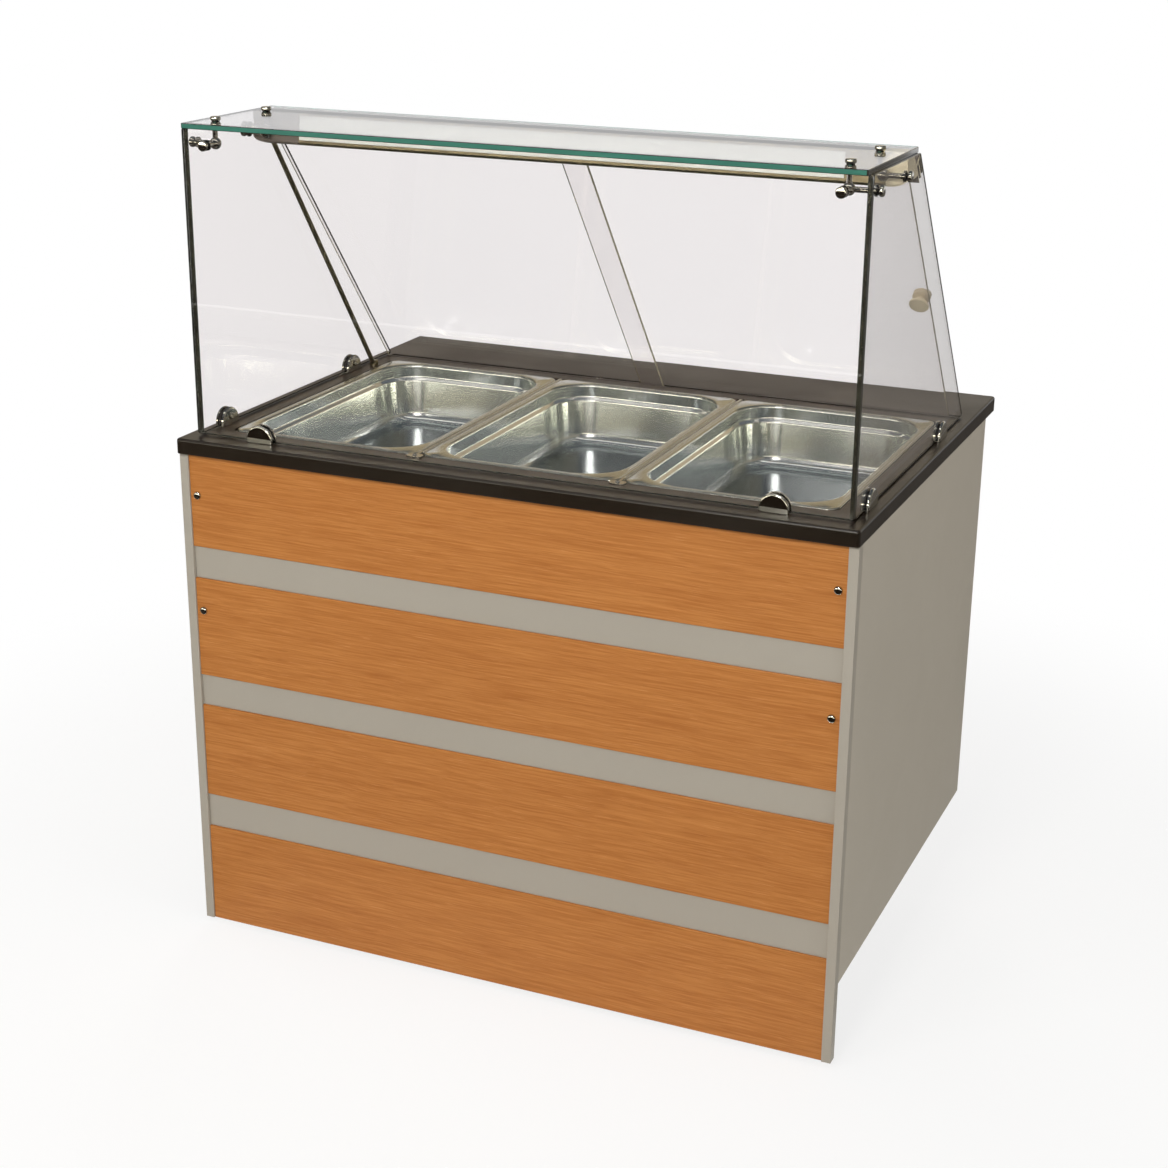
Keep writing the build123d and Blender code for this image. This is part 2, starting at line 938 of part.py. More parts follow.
def door_knob():
    """Turned knob on the operator's side, with the shank that passes through the glass."""
    points = [
        (0, -door_thick),
        (knob_shank_radius, -door_thick),
        (knob_shank_radius, 0),
        (knob_foot_radius, 0),
        (knob_neck_radius, knob_neck_height),
        (knob_radius, knob_belly_height),
        (knob_radius, knob_length - knob_round),
        (knob_radius - knob_round, knob_length),
        (0, knob_length),
    ]
    return turned(points, knob_place(rear_door))


def door_knob_disc():
    """Flat round disc that backs the knob on the inner face of the door."""
    disc = Cylinder(
        knob_disc_radius, knob_disc_thick, align=(Align.CENTER, Align.CENTER, Align.MAX)
    )
    disc = chamfer(disc.edges().group_by(Axis.Z)[0], knob_disc_round)
    return knob_place(rear_door + door_thick) * disc


def door_slot(depth, foot, head):
    """The slot that a door runs in, between two places up the slope."""
    reach = (-worktop_width / 2, worktop_width / 2)
    return slope_block(reach, (foot, head), (depth - track_fit, depth + door_thick + track_fit))


def lower_door_track():
    """Dark strip let into the worktop, with two slanted slots."""
    strip = block(
        (-lower_track_end, lower_track_end), lower_track_y, (lower_track_z, top_z + lower_track_proud)
    )
    for depth in (rear_door, front_door):
        strip -= door_slot(depth, slot_floor(depth), door_top)
    return strip


def upper_door_track():
    """Twin channel behind the lamp that guides the doors' upper edges."""
    body = slope_block(
        (-lower_track_end, lower_track_end),
        (upper_track_foot, track_head),
        (track_back, track_face),
    )
    for depth in (rear_door, front_door):
        body -= door_slot(depth, upper_track_foot - cut_over, upper_track_foot + upper_slot_depth)
    return body


# Lamp

def lamp_window(fit):
    """The long opening in the lamp's front that the diffuser fills, less a fit all round."""
    end = lamp_body_end - lamp_window_end - fit
    return block(
        (-end, end),
        (lamp_front, lamp_front + lamp_wall),
        (lamp_foot + lamp_lip + fit, guard_under - lamp_window_top - fit),
    )


def lamp_housing():
    shell = prism_x(lamp_outline(0), -lamp_body_end, lamp_body_end)
    shell -= prism_x(lamp_outline(lamp_wall), -lamp_body_end - cut_over, lamp_body_end + cut_over)
    return shell - lamp_window(0)


def lamp_cap_corner(side):
    """What the rounding takes off the lower outer corner of an end cap."""
    long, tall = lamp_cap_round
    x = sorted((side * (lamp_end - long), side * (lamp_end + cut_over)))
    y = (lamp_front - cut_over, slope_foot_y)
    corner = block(x, y, (lamp_foot - cut_over, lamp_foot + tall))
    bow = Plane(
        origin=(side * (lamp_end - long), y[0], lamp_foot + tall), x_dir=(1, 0, 0), z_dir=(0, -1, 0)
    )
    return corner - bow * extrude(Ellipse(long, tall), y[0] - y[1])


def lamp_end_caps():
    """Moulded caps with a rounded lower corner, hollow above it where the wires come in."""
    caps = []
    hollow_foot = lamp_foot + lamp_cap_round[1] + lamp_cap_wall
    for side in (-1, 1):
        cap = prism_x(lamp_outline(0), *sorted((side * lamp_body_end, side * lamp_end)))
        hollow = prism_x(
            lamp_outline(lamp_cap_wall),
            *sorted((side * (lamp_body_end - cut_over), side * (lamp_end - lamp_cap_wall))),
        )
        low = block(
            (-lamp_end, lamp_end), (lamp_front, slope_foot_y), (lamp_foot, hollow_foot)
        )
        cap = cap - (hollow - low) - lamp_cap_corner(side)
        caps.append(cap - rod(conduit_low, conduit_end, conduit_radius + conduit_fit))
    return caps


def lamp_sockets():
    """Sockets that carry the lamp tube's ends, standing on the end caps."""
    sockets = []
    y = (lamp_tube_y - lamp_socket_front, lamp_tube_y + lamp_socket_back)
    z = (lamp_tube_z - lamp_socket_drop, lamp_tube_z + lamp_socket_rise)
    for side in (-1, 1):
        x = sorted((side * (lamp_body_end - lamp_socket_thick), side * lamp_body_end))
        sockets.append(block(x, y, z))
    return sockets


def lamp_tube():
    end = lamp_body_end - lamp_socket_thick
    return rod((-end, lamp_tube_y, lamp_tube_z), (end, lamp_tube_y, lamp_tube_z), lamp_tube_radius)


def lamp_conduit():
    return rod(conduit_start, conduit_end, conduit_radius) - rod(
        conduit_start - conduit_way, conduit_end + conduit_way, conduit_radius - conduit_wall
    )


def conduit_collar():
    """Turned foot that closes the hole round the wire tube."""
    collar = Pos(*conduit_low) * Cylinder(
        conduit_collar_radius, conduit_collar_height, align=(Align.CENTER, Align.CENTER, Align.MIN)
    )
    collar = chamfer(collar.edges().group_by(Axis.Z)[-1], conduit_collar_round)
    return collar - rod(conduit_start, conduit_end, conduit_radius + conduit_collar_fit)


# Body

front_top = under_z
front_foot = front_clearance
strip_face = body_front + strip_recess
board_face = strip_face - board_proud
board_back = strip_face + board_rebate
board_half = body_half - stile_width


def board_levels():
    """Lower and upper level of each board, from the top down; the last one fills what is left."""
    levels = []
    top = front_top
    for height, strip in zip(board_heights, strip_heights):
        levels.append((top - height, top))
        top -= height + strip
    return levels + [(front_foot, top)]


def board_screw_points(level):
    """Where dome screws sit on the board between two levels."""
    low, high = level
    return [
        (side * (board_half - board_screw_inset), top_z - drop)
        for drop in board_screw_drops
        for side in (-1, 1)
        if low < top_z - drop < high
    ]


def screw_bore(x, z):
    return rod(
        (x, board_face - cut_over, z),
        (x, board_face + board_screw_length + board_screw_fit, z),
        board_screw_shank + board_screw_fit,
    )


def front_panel():
    """Grey backing with a rebate for each board; what is left between them shows as strips."""
    panel = block((-board_half, board_half), (strip_face, carcass_front), (front_foot, front_top))
    for low, high in board_levels():
        panel -= block(
            (-board_half - cut_over, board_half + cut_over),
            (strip_face - cut_over, board_back),
            (low, high),
        )
        for x, z in board_screw_points((low, high)):
            panel -= screw_bore(x, z)
    return panel


def board(level):
    low, high = level
    plank = block((-board_half, board_half), (board_face, board_back), (low, high))
    for x, z in board_screw_points(level):
        plank -= screw_bore(x, z)
    return plank


def board_screws():
    screws = []
    for level in board_levels():
        for x, z in board_screw_points(level):
            head = facing((x, board_face, z), (0, -1, 0)) * dome(board_screw_radius, board_screw_dome)
            tip = (x, board_face + board_screw_length, z)
            shank = rod((x, board_face - board_screw_dome / 2, z), tip, board_screw_shank)
            screws.append(head + shank)
    return screws


def stile(side):
    x = sorted((side * board_half, side * body_half))
    return block(x, (body_front, carcass_front), (front_foot, front_top))


def side_panel(side):
    x = sorted((side * body_in, side * body_half))
    return block(x, (carcass_front, body_rear), (base_height, under_z))


def bottom_panel():
    return block(
        (-body_in, body_in), (carcass_front, body_rear), (base_height, base_height + panel_thick)
    )


def worktop_brackets():
    """Steel angles that hold the worktop down on the side panels."""
    brackets = []
    for side in (-1, 1):
        for y in (carcass_front + bracket_front, body_rear - bracket_rear):
            span = (y - bracket_length / 2, y + bracket_length / 2)
            upright = sorted((side * body_in, side * (body_in - bracket_thick)))
            flat = sorted((side * body_in, side * (body_in - bracket_leg)))
            angle = block(upright, span, (under_z - bracket_leg, under_z))
            brackets.append(angle + block(flat, span, (under_z - bracket_thick, under_z)))
    return brackets


# Controls

def control_panel():
    """Folded steel panel under the worktop's rear overhang, open towards the tank."""
    low = under_z - control_height
    panel = block(
        (-control_end, control_end), (control_face - control_depth, control_face), (low, under_z)
    )
    panel -= block(
        (-control_end - cut_over, control_end + cut_over),
        (control_face - control_depth - cut_over, control_inner),
        (low + control_sheet, under_z - control_sheet),
    )
    through = (control_inner - cut_over, control_face + cut_over)
    panel -= rod(
        (thermostat_x, through[0], control_z), (thermostat_x, through[1], control_z), spindle_hole
    )
    panel -= rod((pilot_x, through[0], control_z), (pilot_x, through[1], control_z), pilot_radius)
    for x in switch_xs:
        wide, high = [size - 2 * switch_body_inset for size in switch_size]
        panel -= block(
            (x - wide / 2, x + wide / 2), through, (control_z - high / 2, control_z + high / 2)
        )
    panel -= rod((gland_x, through[0], gland_z), (gland_x, through[1], gland_z), gland_radius)
    return panel


def thermostat_body():
    wide, high = thermostat_size
    body = block(
        (thermostat_x - wide / 2, thermostat_x + wide / 2),
        (control_inner - thermostat_depth, control_inner),
        (control_z - high / 2, control_z + high / 2),
    )
    body = fillet(body.edges().filter_by(Axis.Y), dial_round)
    return body - rod(
        (thermostat_x, control_inner - spindle_engage, control_z),
        (thermostat_x, control_inner + cut_over, control_z),
        spindle_radius + spindle_fit,
    )


def thermostat_knob():
    """Dial with a skirt, a round grip, a raised rib as a pointer and its spindle."""
    points = [
        (0, 0),
        (dial_radius, 0),
        (dial_radius, dial_skirt),
        (dial_grip_radius + dial_round, dial_skirt + dial_round),
        (dial_grip_radius, dial_height - dial_round),
        (dial_grip_radius - dial_round, dial_height),
        (0, dial_height),
    ]
    place = Plane(
        origin=(thermostat_x, control_face + dial_gap, control_z), x_dir=(1, 0, 0), z_dir=(0, 1, 0)
    )
    grip = turned(points, place)
    rib = place * block(
        (-dial_rib / 2, dial_rib / 2),
        (-dial_grip_radius, dial_grip_radius),
        (dial_skirt, dial_height + dial_rib_rise),
    )
    spindle_start = control_inner - spindle_engage + dial_gap
    spindle = rod(
        (thermostat_x, spindle_start, control_z),
        (thermostat_x, control_face + dial_gap + dial_skirt, control_z),
        spindle_radius,
    )
    return grip + rib + spindle


rocker_pivot_y = control_face + switch_bezel - rocker_depth / 2


def switch_housing(x):
    """Snap-in switch body with a bezel on the panel's face and an open pocket for the rocker."""
    wide, high = switch_size
    bezel = block(
        (x - wide / 2, x + wide / 2),
        (control_face, control_face + switch_bezel),
        (control_z - high / 2, control_z + high / 2),
    )
    inner = [size - 2 * switch_body_inset for size in switch_size]
    body = block(
        (x - inner[0] / 2 + switch_fit, x + inner[0] / 2 - switch_fit),
        (control_face - switch_depth, control_face),
        (control_z - inner[1] / 2 + switch_fit, control_z + inner[1] / 2 - switch_fit),
    )
    pocket_half = [size / 2 - switch_wall for size in inner]
    pocket = block(
        (x - pocket_half[0], x + pocket_half[0]),
        (rocker_pivot_y - rocker_pocket, control_face + switch_bezel + cut_over),
        (control_z - pocket_half[1], control_z + pocket_half[1]),
    )
    pin_end = pocket_half[0] + rocker_pin_length + rocker_gap
    pins = rod(
        (x - pin_end, rocker_pivot_y, control_z),
        (x + pin_end, rocker_pivot_y, control_z),
        rocker_pin_radius + rocker_pin_fit,
    )
    return bezel + body - pocket - pins


def switch_rocker(x):
    """Rocker with two sloping faces on its pivot pins, at rest on its off side."""
    half_wide, half = [size / 2 - switch_body_inset - switch_wall for size in switch_size]
    half_wide -= rocker_gap
    half -= rocker_end_gap
    outline = [
        (-rocker_depth / 2, -rocker_waist),
        (rocker_crown, -half),
        (rocker_dip, 0),
        (rocker_crown, half),
        (-rocker_depth / 2, rocker_waist),
    ]
    body = prism_x(outline, -half_wide, half_wide)
    pin_reach = half_wide + rocker_gap + rocker_pin_length
    body += rod((-pin_reach, 0, 0), (pin_reach, 0, 0), rocker_pin_radius)
    return Pos(x, rocker_pivot_y, control_z) * Rot(rocker_tilt, 0, 0) * body


def pilot_lamp():
    place = Plane(origin=(pilot_x, control_face, control_z), z_dir=(0, 1, 0))
    bezel = turned(
        [
            (0, 0),
            (pilot_bezel_radius, 0),
            (pilot_bezel_radius - pilot_bezel / 2, pilot_bezel),
            (0, pilot_bezel),
        ],
        place,
    )
    body = rod(
        (pilot_x, control_face - pilot_depth, control_z),
        (pilot_x, control_face + pilot_bezel, control_z),
        pilot_radius - pilot_fit,
    )
    lens = place * Pos(0, 0, pilot_bezel) * dome(pilot_radius, pilot_dome)
    return bezel + body + lens


def cable_gland():
    """Gland for the supply lead: a nut on each side of the panel and a tapered cap on the outside."""
    inner = control_inner - gland_nut_height
    outer = control_face + gland_length
    gland = rod((gland_x, inner, gland_z), (gland_x, outer, gland_z), gland_radius - gland_fit)
    hexagon = RegularPolygon(gland_nut, 6)
    face = facing((gland_x, control_face, gland_z), (0, 1, 0))
    gland += face * extrude(hexagon, gland_nut_height)
    gland += face * Pos(0, 0, -control_sheet - gland_back_nut) * extrude(hexagon, gland_back_nut)
    gland += turned(
        [
            (0, gland_nut_height),
            (gland_cap_radius, gland_nut_height),
            (gland_cap_radius, gland_length - gland_nut_height),
            (gland_bore + gland_lip, gland_length),
            (0, gland_length),
        ],
        face,
    )
    return gland - rod(
        (gland_x, inner - cut_over, gland_z), (gland_x, outer + cut_over, gland_z), gland_bore
    )


# Feet

def foot_points():
    """Centres of the four feet, the rear ones closer together."""
    front = (body_half - foot_front_inset, carcass_front + foot_front_setback)
    rear = (body_half - foot_rear_inset, body_rear - foot_rear_setback)
    return [(side * x, y) for x, y in (front, rear) for side in (-1, 1)]


def foot_sockets():
    sockets = []
    for x, y in foot_points():
        plate = Pos(x, y, base_height - foot_plate_thick) * extrude(
            RectangleRounded(foot_plate, foot_plate, foot_plate_corner), foot_plate_thick
        )
        tube = Pos(x, y, base_height - foot_socket_length) * Cylinder(
            foot_socket_radius, foot_socket_length, align=(Align.CENTER, Align.CENTER, Align.MIN)
        )
        bore = Pos(x, y, base_height - foot_socket_length) * Cylinder(
            foot_stem_radius + foot_stem_fit, 2 * foot_stem_engage
        )
        sockets.append(plate + tube - bore)
    return sockets


def foot_stems():
    """Turned stems with a broad pad on the floor; each stem bears on the end of its socket's bore."""
    stem_top = base_height - foot_socket_length + foot_stem_engage
    points = [
        (0, 0),
        (foot_pad_radius, 0),
        (foot_pad_radius, foot_pad_height),
        (foot_stem_radius, foot_pad_height + foot_pad_shoulder),
        (foot_stem_radius, stem_top),
        (0, stem_top),
    ]
    return [turned(points, Plane(origin=(x, y, 0))) for x, y in foot_points()]


def build():
    """Every piece by its name; a list is a group of separate solids that share one node."""
    pieces = {
        "worktop": worktop(),
        "well_tank": well_tank(),
        "divider_bars": divider_bars(),
        "divider_tabs": divider_tabs(),
        "heater_element": heater_element(),
        "heater_flange": heater_flange(),
        "thermostat_bulb": thermostat_bulb(),
        "drain_pipe": drain_pipe(),
        "drain_valve": drain_valve(),
        "drain_lever": drain_lever(),
        "front_glass": front_glass(),
        "side_glass_left": side_glass(-1),
        "side_glass_right": side_glass(1),
        "top_glass": top_glass(),
        "front_connectors": [connector(*points) for points in connectors["front"]],
        "rear_connectors": [connector(*points) for points in connectors["rear"]],
        "connector_bolts": connector_bolts(),
        "front_clamps": [place * clamp() for place in front_clamp_places],
        "side_clamps": [place * clamp() for place in side_clamp_places],
        "clamp_pads": [
            pad for place in front_clamp_places + side_clamp_places for pad in clamp_pads(place)
        ],
        "clamp_screws": [clamp_screw(place) for place in front_clamp_places + side_clamp_places],
        "door_left": door(left_door_x, front_door),
        "door_right": door_right(),
        "door_knob": door_knob(),
        "door_knob_disc": door_knob_disc(),
        "lower_door_track": lower_door_track(),
        "upper_door_track": upper_door_track(),
        "lamp_housing": lamp_housing(),
        "lamp_diffuser": lamp_window(lamp_window_fit),
        "lamp_end_caps": lamp_end_caps(),
        "lamp_sockets": lamp_sockets(),
        "lamp_tube": lamp_tube(),
        "lamp_conduit": lamp_conduit(),
        "conduit_collar": conduit_collar(),
        "front_panel": front_panel(),
        "stile_left": stile(-1),
        "stile_right": stile(1),
        "board_screws": board_screws(),
        "side_panel_left": side_panel(-1),
        "side_panel_right": side_panel(1),
        "bottom_panel": bottom_panel(),
        "worktop_brackets": worktop_brackets(),
        "control_panel": control_panel(),
        "thermostat_body": thermostat_body(),
        "thermostat_knob": thermostat_knob(),
        "pilot_lamp": pilot_lamp(),
        "cable_gland": cable_gland(),
        "foot_sockets": foot_sockets(),
        "foot_stems": foot_stems(),
    }
    for name, x in zip(("pan_left", "pan_middle", "pan_right"), pan_xs):
        pieces[name] = pan(x)
    for number, level in enumerate(board_levels(), 1):
        pieces[f"board_{number}"] = board(level)
    for name, x in zip(("main_switch", "light_switch"), switch_xs):
        pieces[f"{name}_housing"] = switch_housing(x)
        pieces[f"{name}_rocker"] = switch_rocker(x)
    return pieces


os.makedirs("parts", exist_ok=True)
for name, shape in build().items():
    solids = shape if isinstance(shape, list) else [shape]
    whole = Compound(children=[solid for piece in solids for solid in piece.solids()])
    export_step(whole, f"parts/{name}.step")
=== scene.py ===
# %% [markdown]
# # A hot buffet counter
# The counter is a cabinet with four wood boards on its front, a dark slab on top, three steel pans in
# a heated well, and a glass guard with a lamp and two sliding doors. Its solids come from a packed
# model, and this lesson dresses them: it adds the camera, the light, the finishes and the fine shapes.
# Everything is in metres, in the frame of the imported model: X to the right, Y to the rear, Z up.

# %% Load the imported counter
import json
import math
from functools import partial

import bmesh
import bpy
from mathutils import Matrix, Quaternion, Vector

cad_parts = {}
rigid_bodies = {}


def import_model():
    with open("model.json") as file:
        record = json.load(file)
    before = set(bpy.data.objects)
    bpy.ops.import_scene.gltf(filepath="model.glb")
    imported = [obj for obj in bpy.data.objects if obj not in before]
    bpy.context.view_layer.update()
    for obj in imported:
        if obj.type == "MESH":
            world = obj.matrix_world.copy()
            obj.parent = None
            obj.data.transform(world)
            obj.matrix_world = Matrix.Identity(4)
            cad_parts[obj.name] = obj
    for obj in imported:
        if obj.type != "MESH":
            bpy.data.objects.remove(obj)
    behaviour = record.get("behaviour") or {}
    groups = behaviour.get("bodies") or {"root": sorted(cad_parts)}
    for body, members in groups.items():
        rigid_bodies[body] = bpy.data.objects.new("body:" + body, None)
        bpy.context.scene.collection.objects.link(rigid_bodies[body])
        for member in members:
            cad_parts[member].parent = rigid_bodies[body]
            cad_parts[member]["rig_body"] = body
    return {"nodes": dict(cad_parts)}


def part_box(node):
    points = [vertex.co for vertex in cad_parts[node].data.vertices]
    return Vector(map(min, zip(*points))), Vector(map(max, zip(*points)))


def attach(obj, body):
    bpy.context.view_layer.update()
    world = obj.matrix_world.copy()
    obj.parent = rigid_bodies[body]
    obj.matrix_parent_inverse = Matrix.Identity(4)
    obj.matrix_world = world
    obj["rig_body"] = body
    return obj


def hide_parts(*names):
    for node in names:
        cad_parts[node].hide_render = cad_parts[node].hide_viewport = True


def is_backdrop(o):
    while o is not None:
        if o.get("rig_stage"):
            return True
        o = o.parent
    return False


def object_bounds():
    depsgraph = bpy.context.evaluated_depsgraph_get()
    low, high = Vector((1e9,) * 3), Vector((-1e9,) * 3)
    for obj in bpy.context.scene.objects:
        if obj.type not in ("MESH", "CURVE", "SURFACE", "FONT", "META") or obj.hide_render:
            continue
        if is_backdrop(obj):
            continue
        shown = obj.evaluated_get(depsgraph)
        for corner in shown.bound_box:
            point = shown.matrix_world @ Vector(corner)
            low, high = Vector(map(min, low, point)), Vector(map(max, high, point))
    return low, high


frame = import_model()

MM = 0.001
LEFT, RIGHT = Vector((-1, 0, 0)), Vector((1, 0, 0))
FRONT, REAR = Vector((0, -1, 0)), Vector((0, 1, 0))
DOWN, UP = Vector((0, 0, -1)), Vector((0, 0, 1))
cad_low, cad_high = (Vector(corner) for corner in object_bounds())
counter_middle = (cad_low + cad_high) / 2
print("counter measures", [round(side, 3) for side in cad_high - cad_low])

# %% [markdown]
# ## Camera
# The photograph was taken from the front, a little to the right and above the worktop. The place, the
# aim and the lens were found by matching the corners of the counter, so they are three plain values.
# A small roll turns the picture by half a degree, as the photograph is turned.

# %% Camera at the photograph's place
camera_place = Vector((1.2514, -2.9785, 1.7106))
camera_aim = Vector((-0.0320, 0.0, 0.5556))
camera_lens = 63.16
camera_sensor = 36.0
camera_roll = math.radians(0.545)

scene = bpy.context.scene
scene.view_settings.view_transform = "Standard"
camera = bpy.data.objects.new("camera", bpy.data.cameras.new("camera"))
camera.data.lens = camera_lens
camera.data.sensor_width = camera_sensor
camera.location = camera_place
level_turn = (camera_aim - camera_place).to_track_quat("-Z", "Y")
camera.rotation_euler = (level_turn @ Quaternion(UP, camera_roll)).to_euler()
scene.collection.objects.link(camera)
scene.camera = camera
print("camera looks from", [round(c, 2) for c in camera.location])

# %% [markdown]
# ## Helpers for node trees
# Materials, the world and Geometry Nodes are all node trees. One helper adds a node, sets its
# properties and fills its sockets, either with a value or with a link from another socket. It keeps the
# recipes below short enough to read as recipes.


# %% One helper for every node
def fill(tree, socket, value):
    """Writes a plain value on a socket, or links an output socket to it."""
    if isinstance(value, bpy.types.NodeSocket):
        tree.links.new(value, socket)
    else:
        socket.default_value = value


def add(tree, kind, inputs=None, **properties):
    """A new node with its properties set and its inputs filled."""
    node = tree.nodes.new(kind)
    for name, value in properties.items():
        setattr(node, name, value)
    for label, value in (inputs or {}).items():
        fill(tree, node.inputs[label], value)
    return node


def result_of(tree, kind, inputs=None, output=0, **properties):
    """An output of a new node, the first one unless another is named."""
    return add(tree, kind, inputs, **properties).outputs[output]


def maths(tree, operation, first, second=0.0):
    """A Math node's result."""
    return result_of(tree, "ShaderNodeMath", {0: first, 1: second}, operation=operation)


def shader_mix(tree, factor, first, second):
    """The first shader where factor is 0, the second where it is 1."""
    return result_of(tree, "ShaderNodeMixShader", {0: factor, 1: first, 2: second})


def rgb(red, green, blue):
    """A colour given as sRGB parts of 255, as a linear colour for a socket."""
    parts = [part / 255 for part in (red, green, blue)]
    linear = [p / 12.92 if p <= 0.04045 else ((p + 0.055) / 1.055) ** 2.4 for p in parts]
    return (*linear, 1.0)


WHITE = rgb(255, 255, 255)
print("grey of 128 is", round(rgb(128, 128, 128)[0], 3), "in linear light")

# %% [markdown]
# ## Studio
# A pale floor and a white surround, as for a catalogue. The world is white to the camera and to glossy
# and transmitted rays, so that the glass and the metal show the white surround, and softer as a light.
# The floor keeps the counter's shadow near its foot and fades to white farther out, so no horizon shows.


# %% White surround
def seen_directly(tree):
    """1 for rays from the camera, a mirror or glass, 0 for the rays that only light things."""
    path = add(tree, "ShaderNodeLightPath").outputs
    seen = maths(tree, "MAXIMUM", path["Is Camera Ray"], path["Is Glossy Ray"])
    return maths(tree, "MAXIMUM", seen, path["Is Transmission Ray"])


def glow(tree, kind, colour, strength):
    """A Background or an Emission of one colour."""
    return result_of(tree, kind, {"Color": colour, "Strength": strength})


surround_light = 0.22
world = bpy.data.worlds.new("white_surround")
world.use_nodes = True
world_tree = world.node_tree
world_tree.nodes.clear()
soft_light = glow(world_tree, "ShaderNodeBackground", rgb(255, 252, 246), surround_light)
white_view = glow(world_tree, "ShaderNodeBackground", WHITE, 1.0)
surround = shader_mix(world_tree, seen_directly(world_tree), soft_light, white_view)
add(world_tree, "ShaderNodeOutputWorld", {"Surface": surround})
scene.world = world
print("surround lights at", surround_light)


# %% Flat cards for the floor and the flags
def card(name, middle, width, height, facing):
    """A flat rectangle of the studio, with its front towards facing."""
    turn = facing.to_track_quat("Z", "Y")
    corners = [(-1, -1), (1, -1), (1, 1), (-1, 1)]
    places = [Vector(middle) + turn @ Vector((x * width / 2, y * height / 2, 0)) for x, y in corners]
    mesh = bpy.data.meshes.new(name)
    mesh.from_pydata(places, [], [(0, 1, 2, 3)])
    piece = bpy.data.objects.new(name, mesh)
    scene.collection.objects.link(piece)
    piece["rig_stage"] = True
    return piece


def empty_finish(name):
    """A material with an empty node tree."""
    material = bpy.data.materials.new(name)
    material.use_nodes = True
    material.node_tree.nodes.clear()
    return material, material.node_tree


# %% Pale floor
floor_side = 12.0
white_near = 0.80
shadow_start, shadow_end = 0.9, 1.9

floor = card("floor", (0, 0, 0), floor_side, floor_side, UP)
floor_finish, floor_tree = empty_finish("pale_floor")
floor_place = result_of(floor_tree, "ShaderNodeTexCoord", output="Object")
from_middle = result_of(floor_tree, "ShaderNodeVectorMath", {0: floor_place}, "Value", operation="LENGTH")
fade = result_of(
    floor_tree,
    "ShaderNodeMapRange",
    {"Value": from_middle, "From Min": shadow_start, "From Max": shadow_end, "To Min": white_near},
    interpolation_type="SMOOTHSTEP",
)
floor_share = maths(floor_tree, "MULTIPLY", seen_directly(floor_tree), fade)
floor_matte = result_of(floor_tree, "ShaderNodeBsdfDiffuse", {"Color": rgb(243, 243, 242)})
floor_white = glow(floor_tree, "ShaderNodeEmission", WHITE, 1.0)
floor_mix = shader_mix(floor_tree, floor_share, floor_matte, floor_white)
add(floor_tree, "ShaderNodeOutputMaterial", {"Surface": floor_mix})
floor.data.materials.append(floor_finish)
print("floor is", floor_side, "m wide")

# %% [markdown]
# ## Flags
# Polished metal and glass only look like themselves when they have something dark to show. A
# photographer hangs flags for that: plain cards that are out of the picture and only turn up in
# reflections. Here they are cards that light nothing, and that are clear until a ray has met something
# glossy. So the white surround stays white through the glass, and the pans behind it still see the flags.
# Two bright bands in front are the windows of a room, and they draw the long lights in the steel.


# %% Flags for the reflections
def flag(name, middle, width, height, facing, colour, strength=1.0):
    """A card that only reflections show; a strong one is the picture of a window or a lamp."""
    piece = card(name, middle, width, height, facing)
    finish, tree = empty_finish(name + "_card")
    clear = result_of(tree, "ShaderNodeBsdfTransparent")
    picture = glow(tree, "ShaderNodeEmission", colour, strength)
    bounces = result_of(tree, "ShaderNodeLightPath", output="Glossy Depth")
    shown = shader_mix(tree, maths(tree, "GREATER_THAN", bounces, 0.5), clear, picture)
    add(tree, "ShaderNodeOutputMaterial", {"Surface": shown})
    finish.cycles.emission_sampling = "NONE"
    piece.data.materials.append(finish)
    piece.visible_camera = False
    piece.visible_diffuse = False
    piece.visible_shadow = False
    return piece


mat_height = 0.004
brown_dark, blue_dark = rgb(40, 33, 26), rgb(36, 46, 56)
window_light, wall_grey, mat_grey = rgb(252, 247, 228), rgb(132, 128, 116), rgb(105, 100, 94)
flags = [
    flag("front_flag_low", (-1.0, -4.6, 0.57), 12.0, 1.16, REAR, brown_dark),
    flag("front_window", (-4.2, -4.6, 1.45), 5.6, 0.6, REAR, window_light, strength=10.0),
    flag("right_window", (1.8, -4.6, 1.45), 6.4, 0.6, REAR, window_light, strength=5.5),
    flag("front_flag_high", (-1.0, -4.6, 3.18), 12.0, 2.85, REAR, blue_dark),
    flag("front_mat", (-1.0, -2.6, mat_height), 12.0, 3.9, UP, brown_dark),
    flag("back_flag_low", (0, 10.0, 1.7), 20.0, 2.8, FRONT, rgb(230, 230, 231)),
    flag("back_flag_high", (0, 10.0, 5.1), 20.0, 4.0, FRONT, rgb(196, 181, 150)),
    flag("left_flag", (-7.0, 1.4, 2.5), 12.0, 4.2, RIGHT, wall_grey),
    flag("right_flag", (5.0, 0.7, 2.5), 10.6, 4.2, LEFT, wall_grey),
    flag("left_mat", (-2.6, 0.4, mat_height), 4.1, 6.0, UP, mat_grey),
    flag("side_mat", (2.8, 4.4, mat_height), 4.4, 10.4, UP, mat_grey),
    flag("ceiling_flag", (-1.0, 1.0, 4.6), 12.0, 11.2, DOWN, rgb(96, 104, 112)),
    flag("ceiling_strip", (-0.5, -1.3, 4.5), 8.0, 0.7, DOWN, rgb(255, 253, 246), strength=2.5),
]
print("flags:", [piece.name for piece in flags])

# %% [markdown]
# ## Lamps
# The counter is lit as in a showroom: one broad light from the left, a smaller one near the camera, and
# weak ones on the other sides, so that no side falls into black. The lamps hide from mirrors, because
# the flags already give the reflections. One lamp does the opposite: it lights nothing and only sets the
# small bright spot on the floor of each pan.


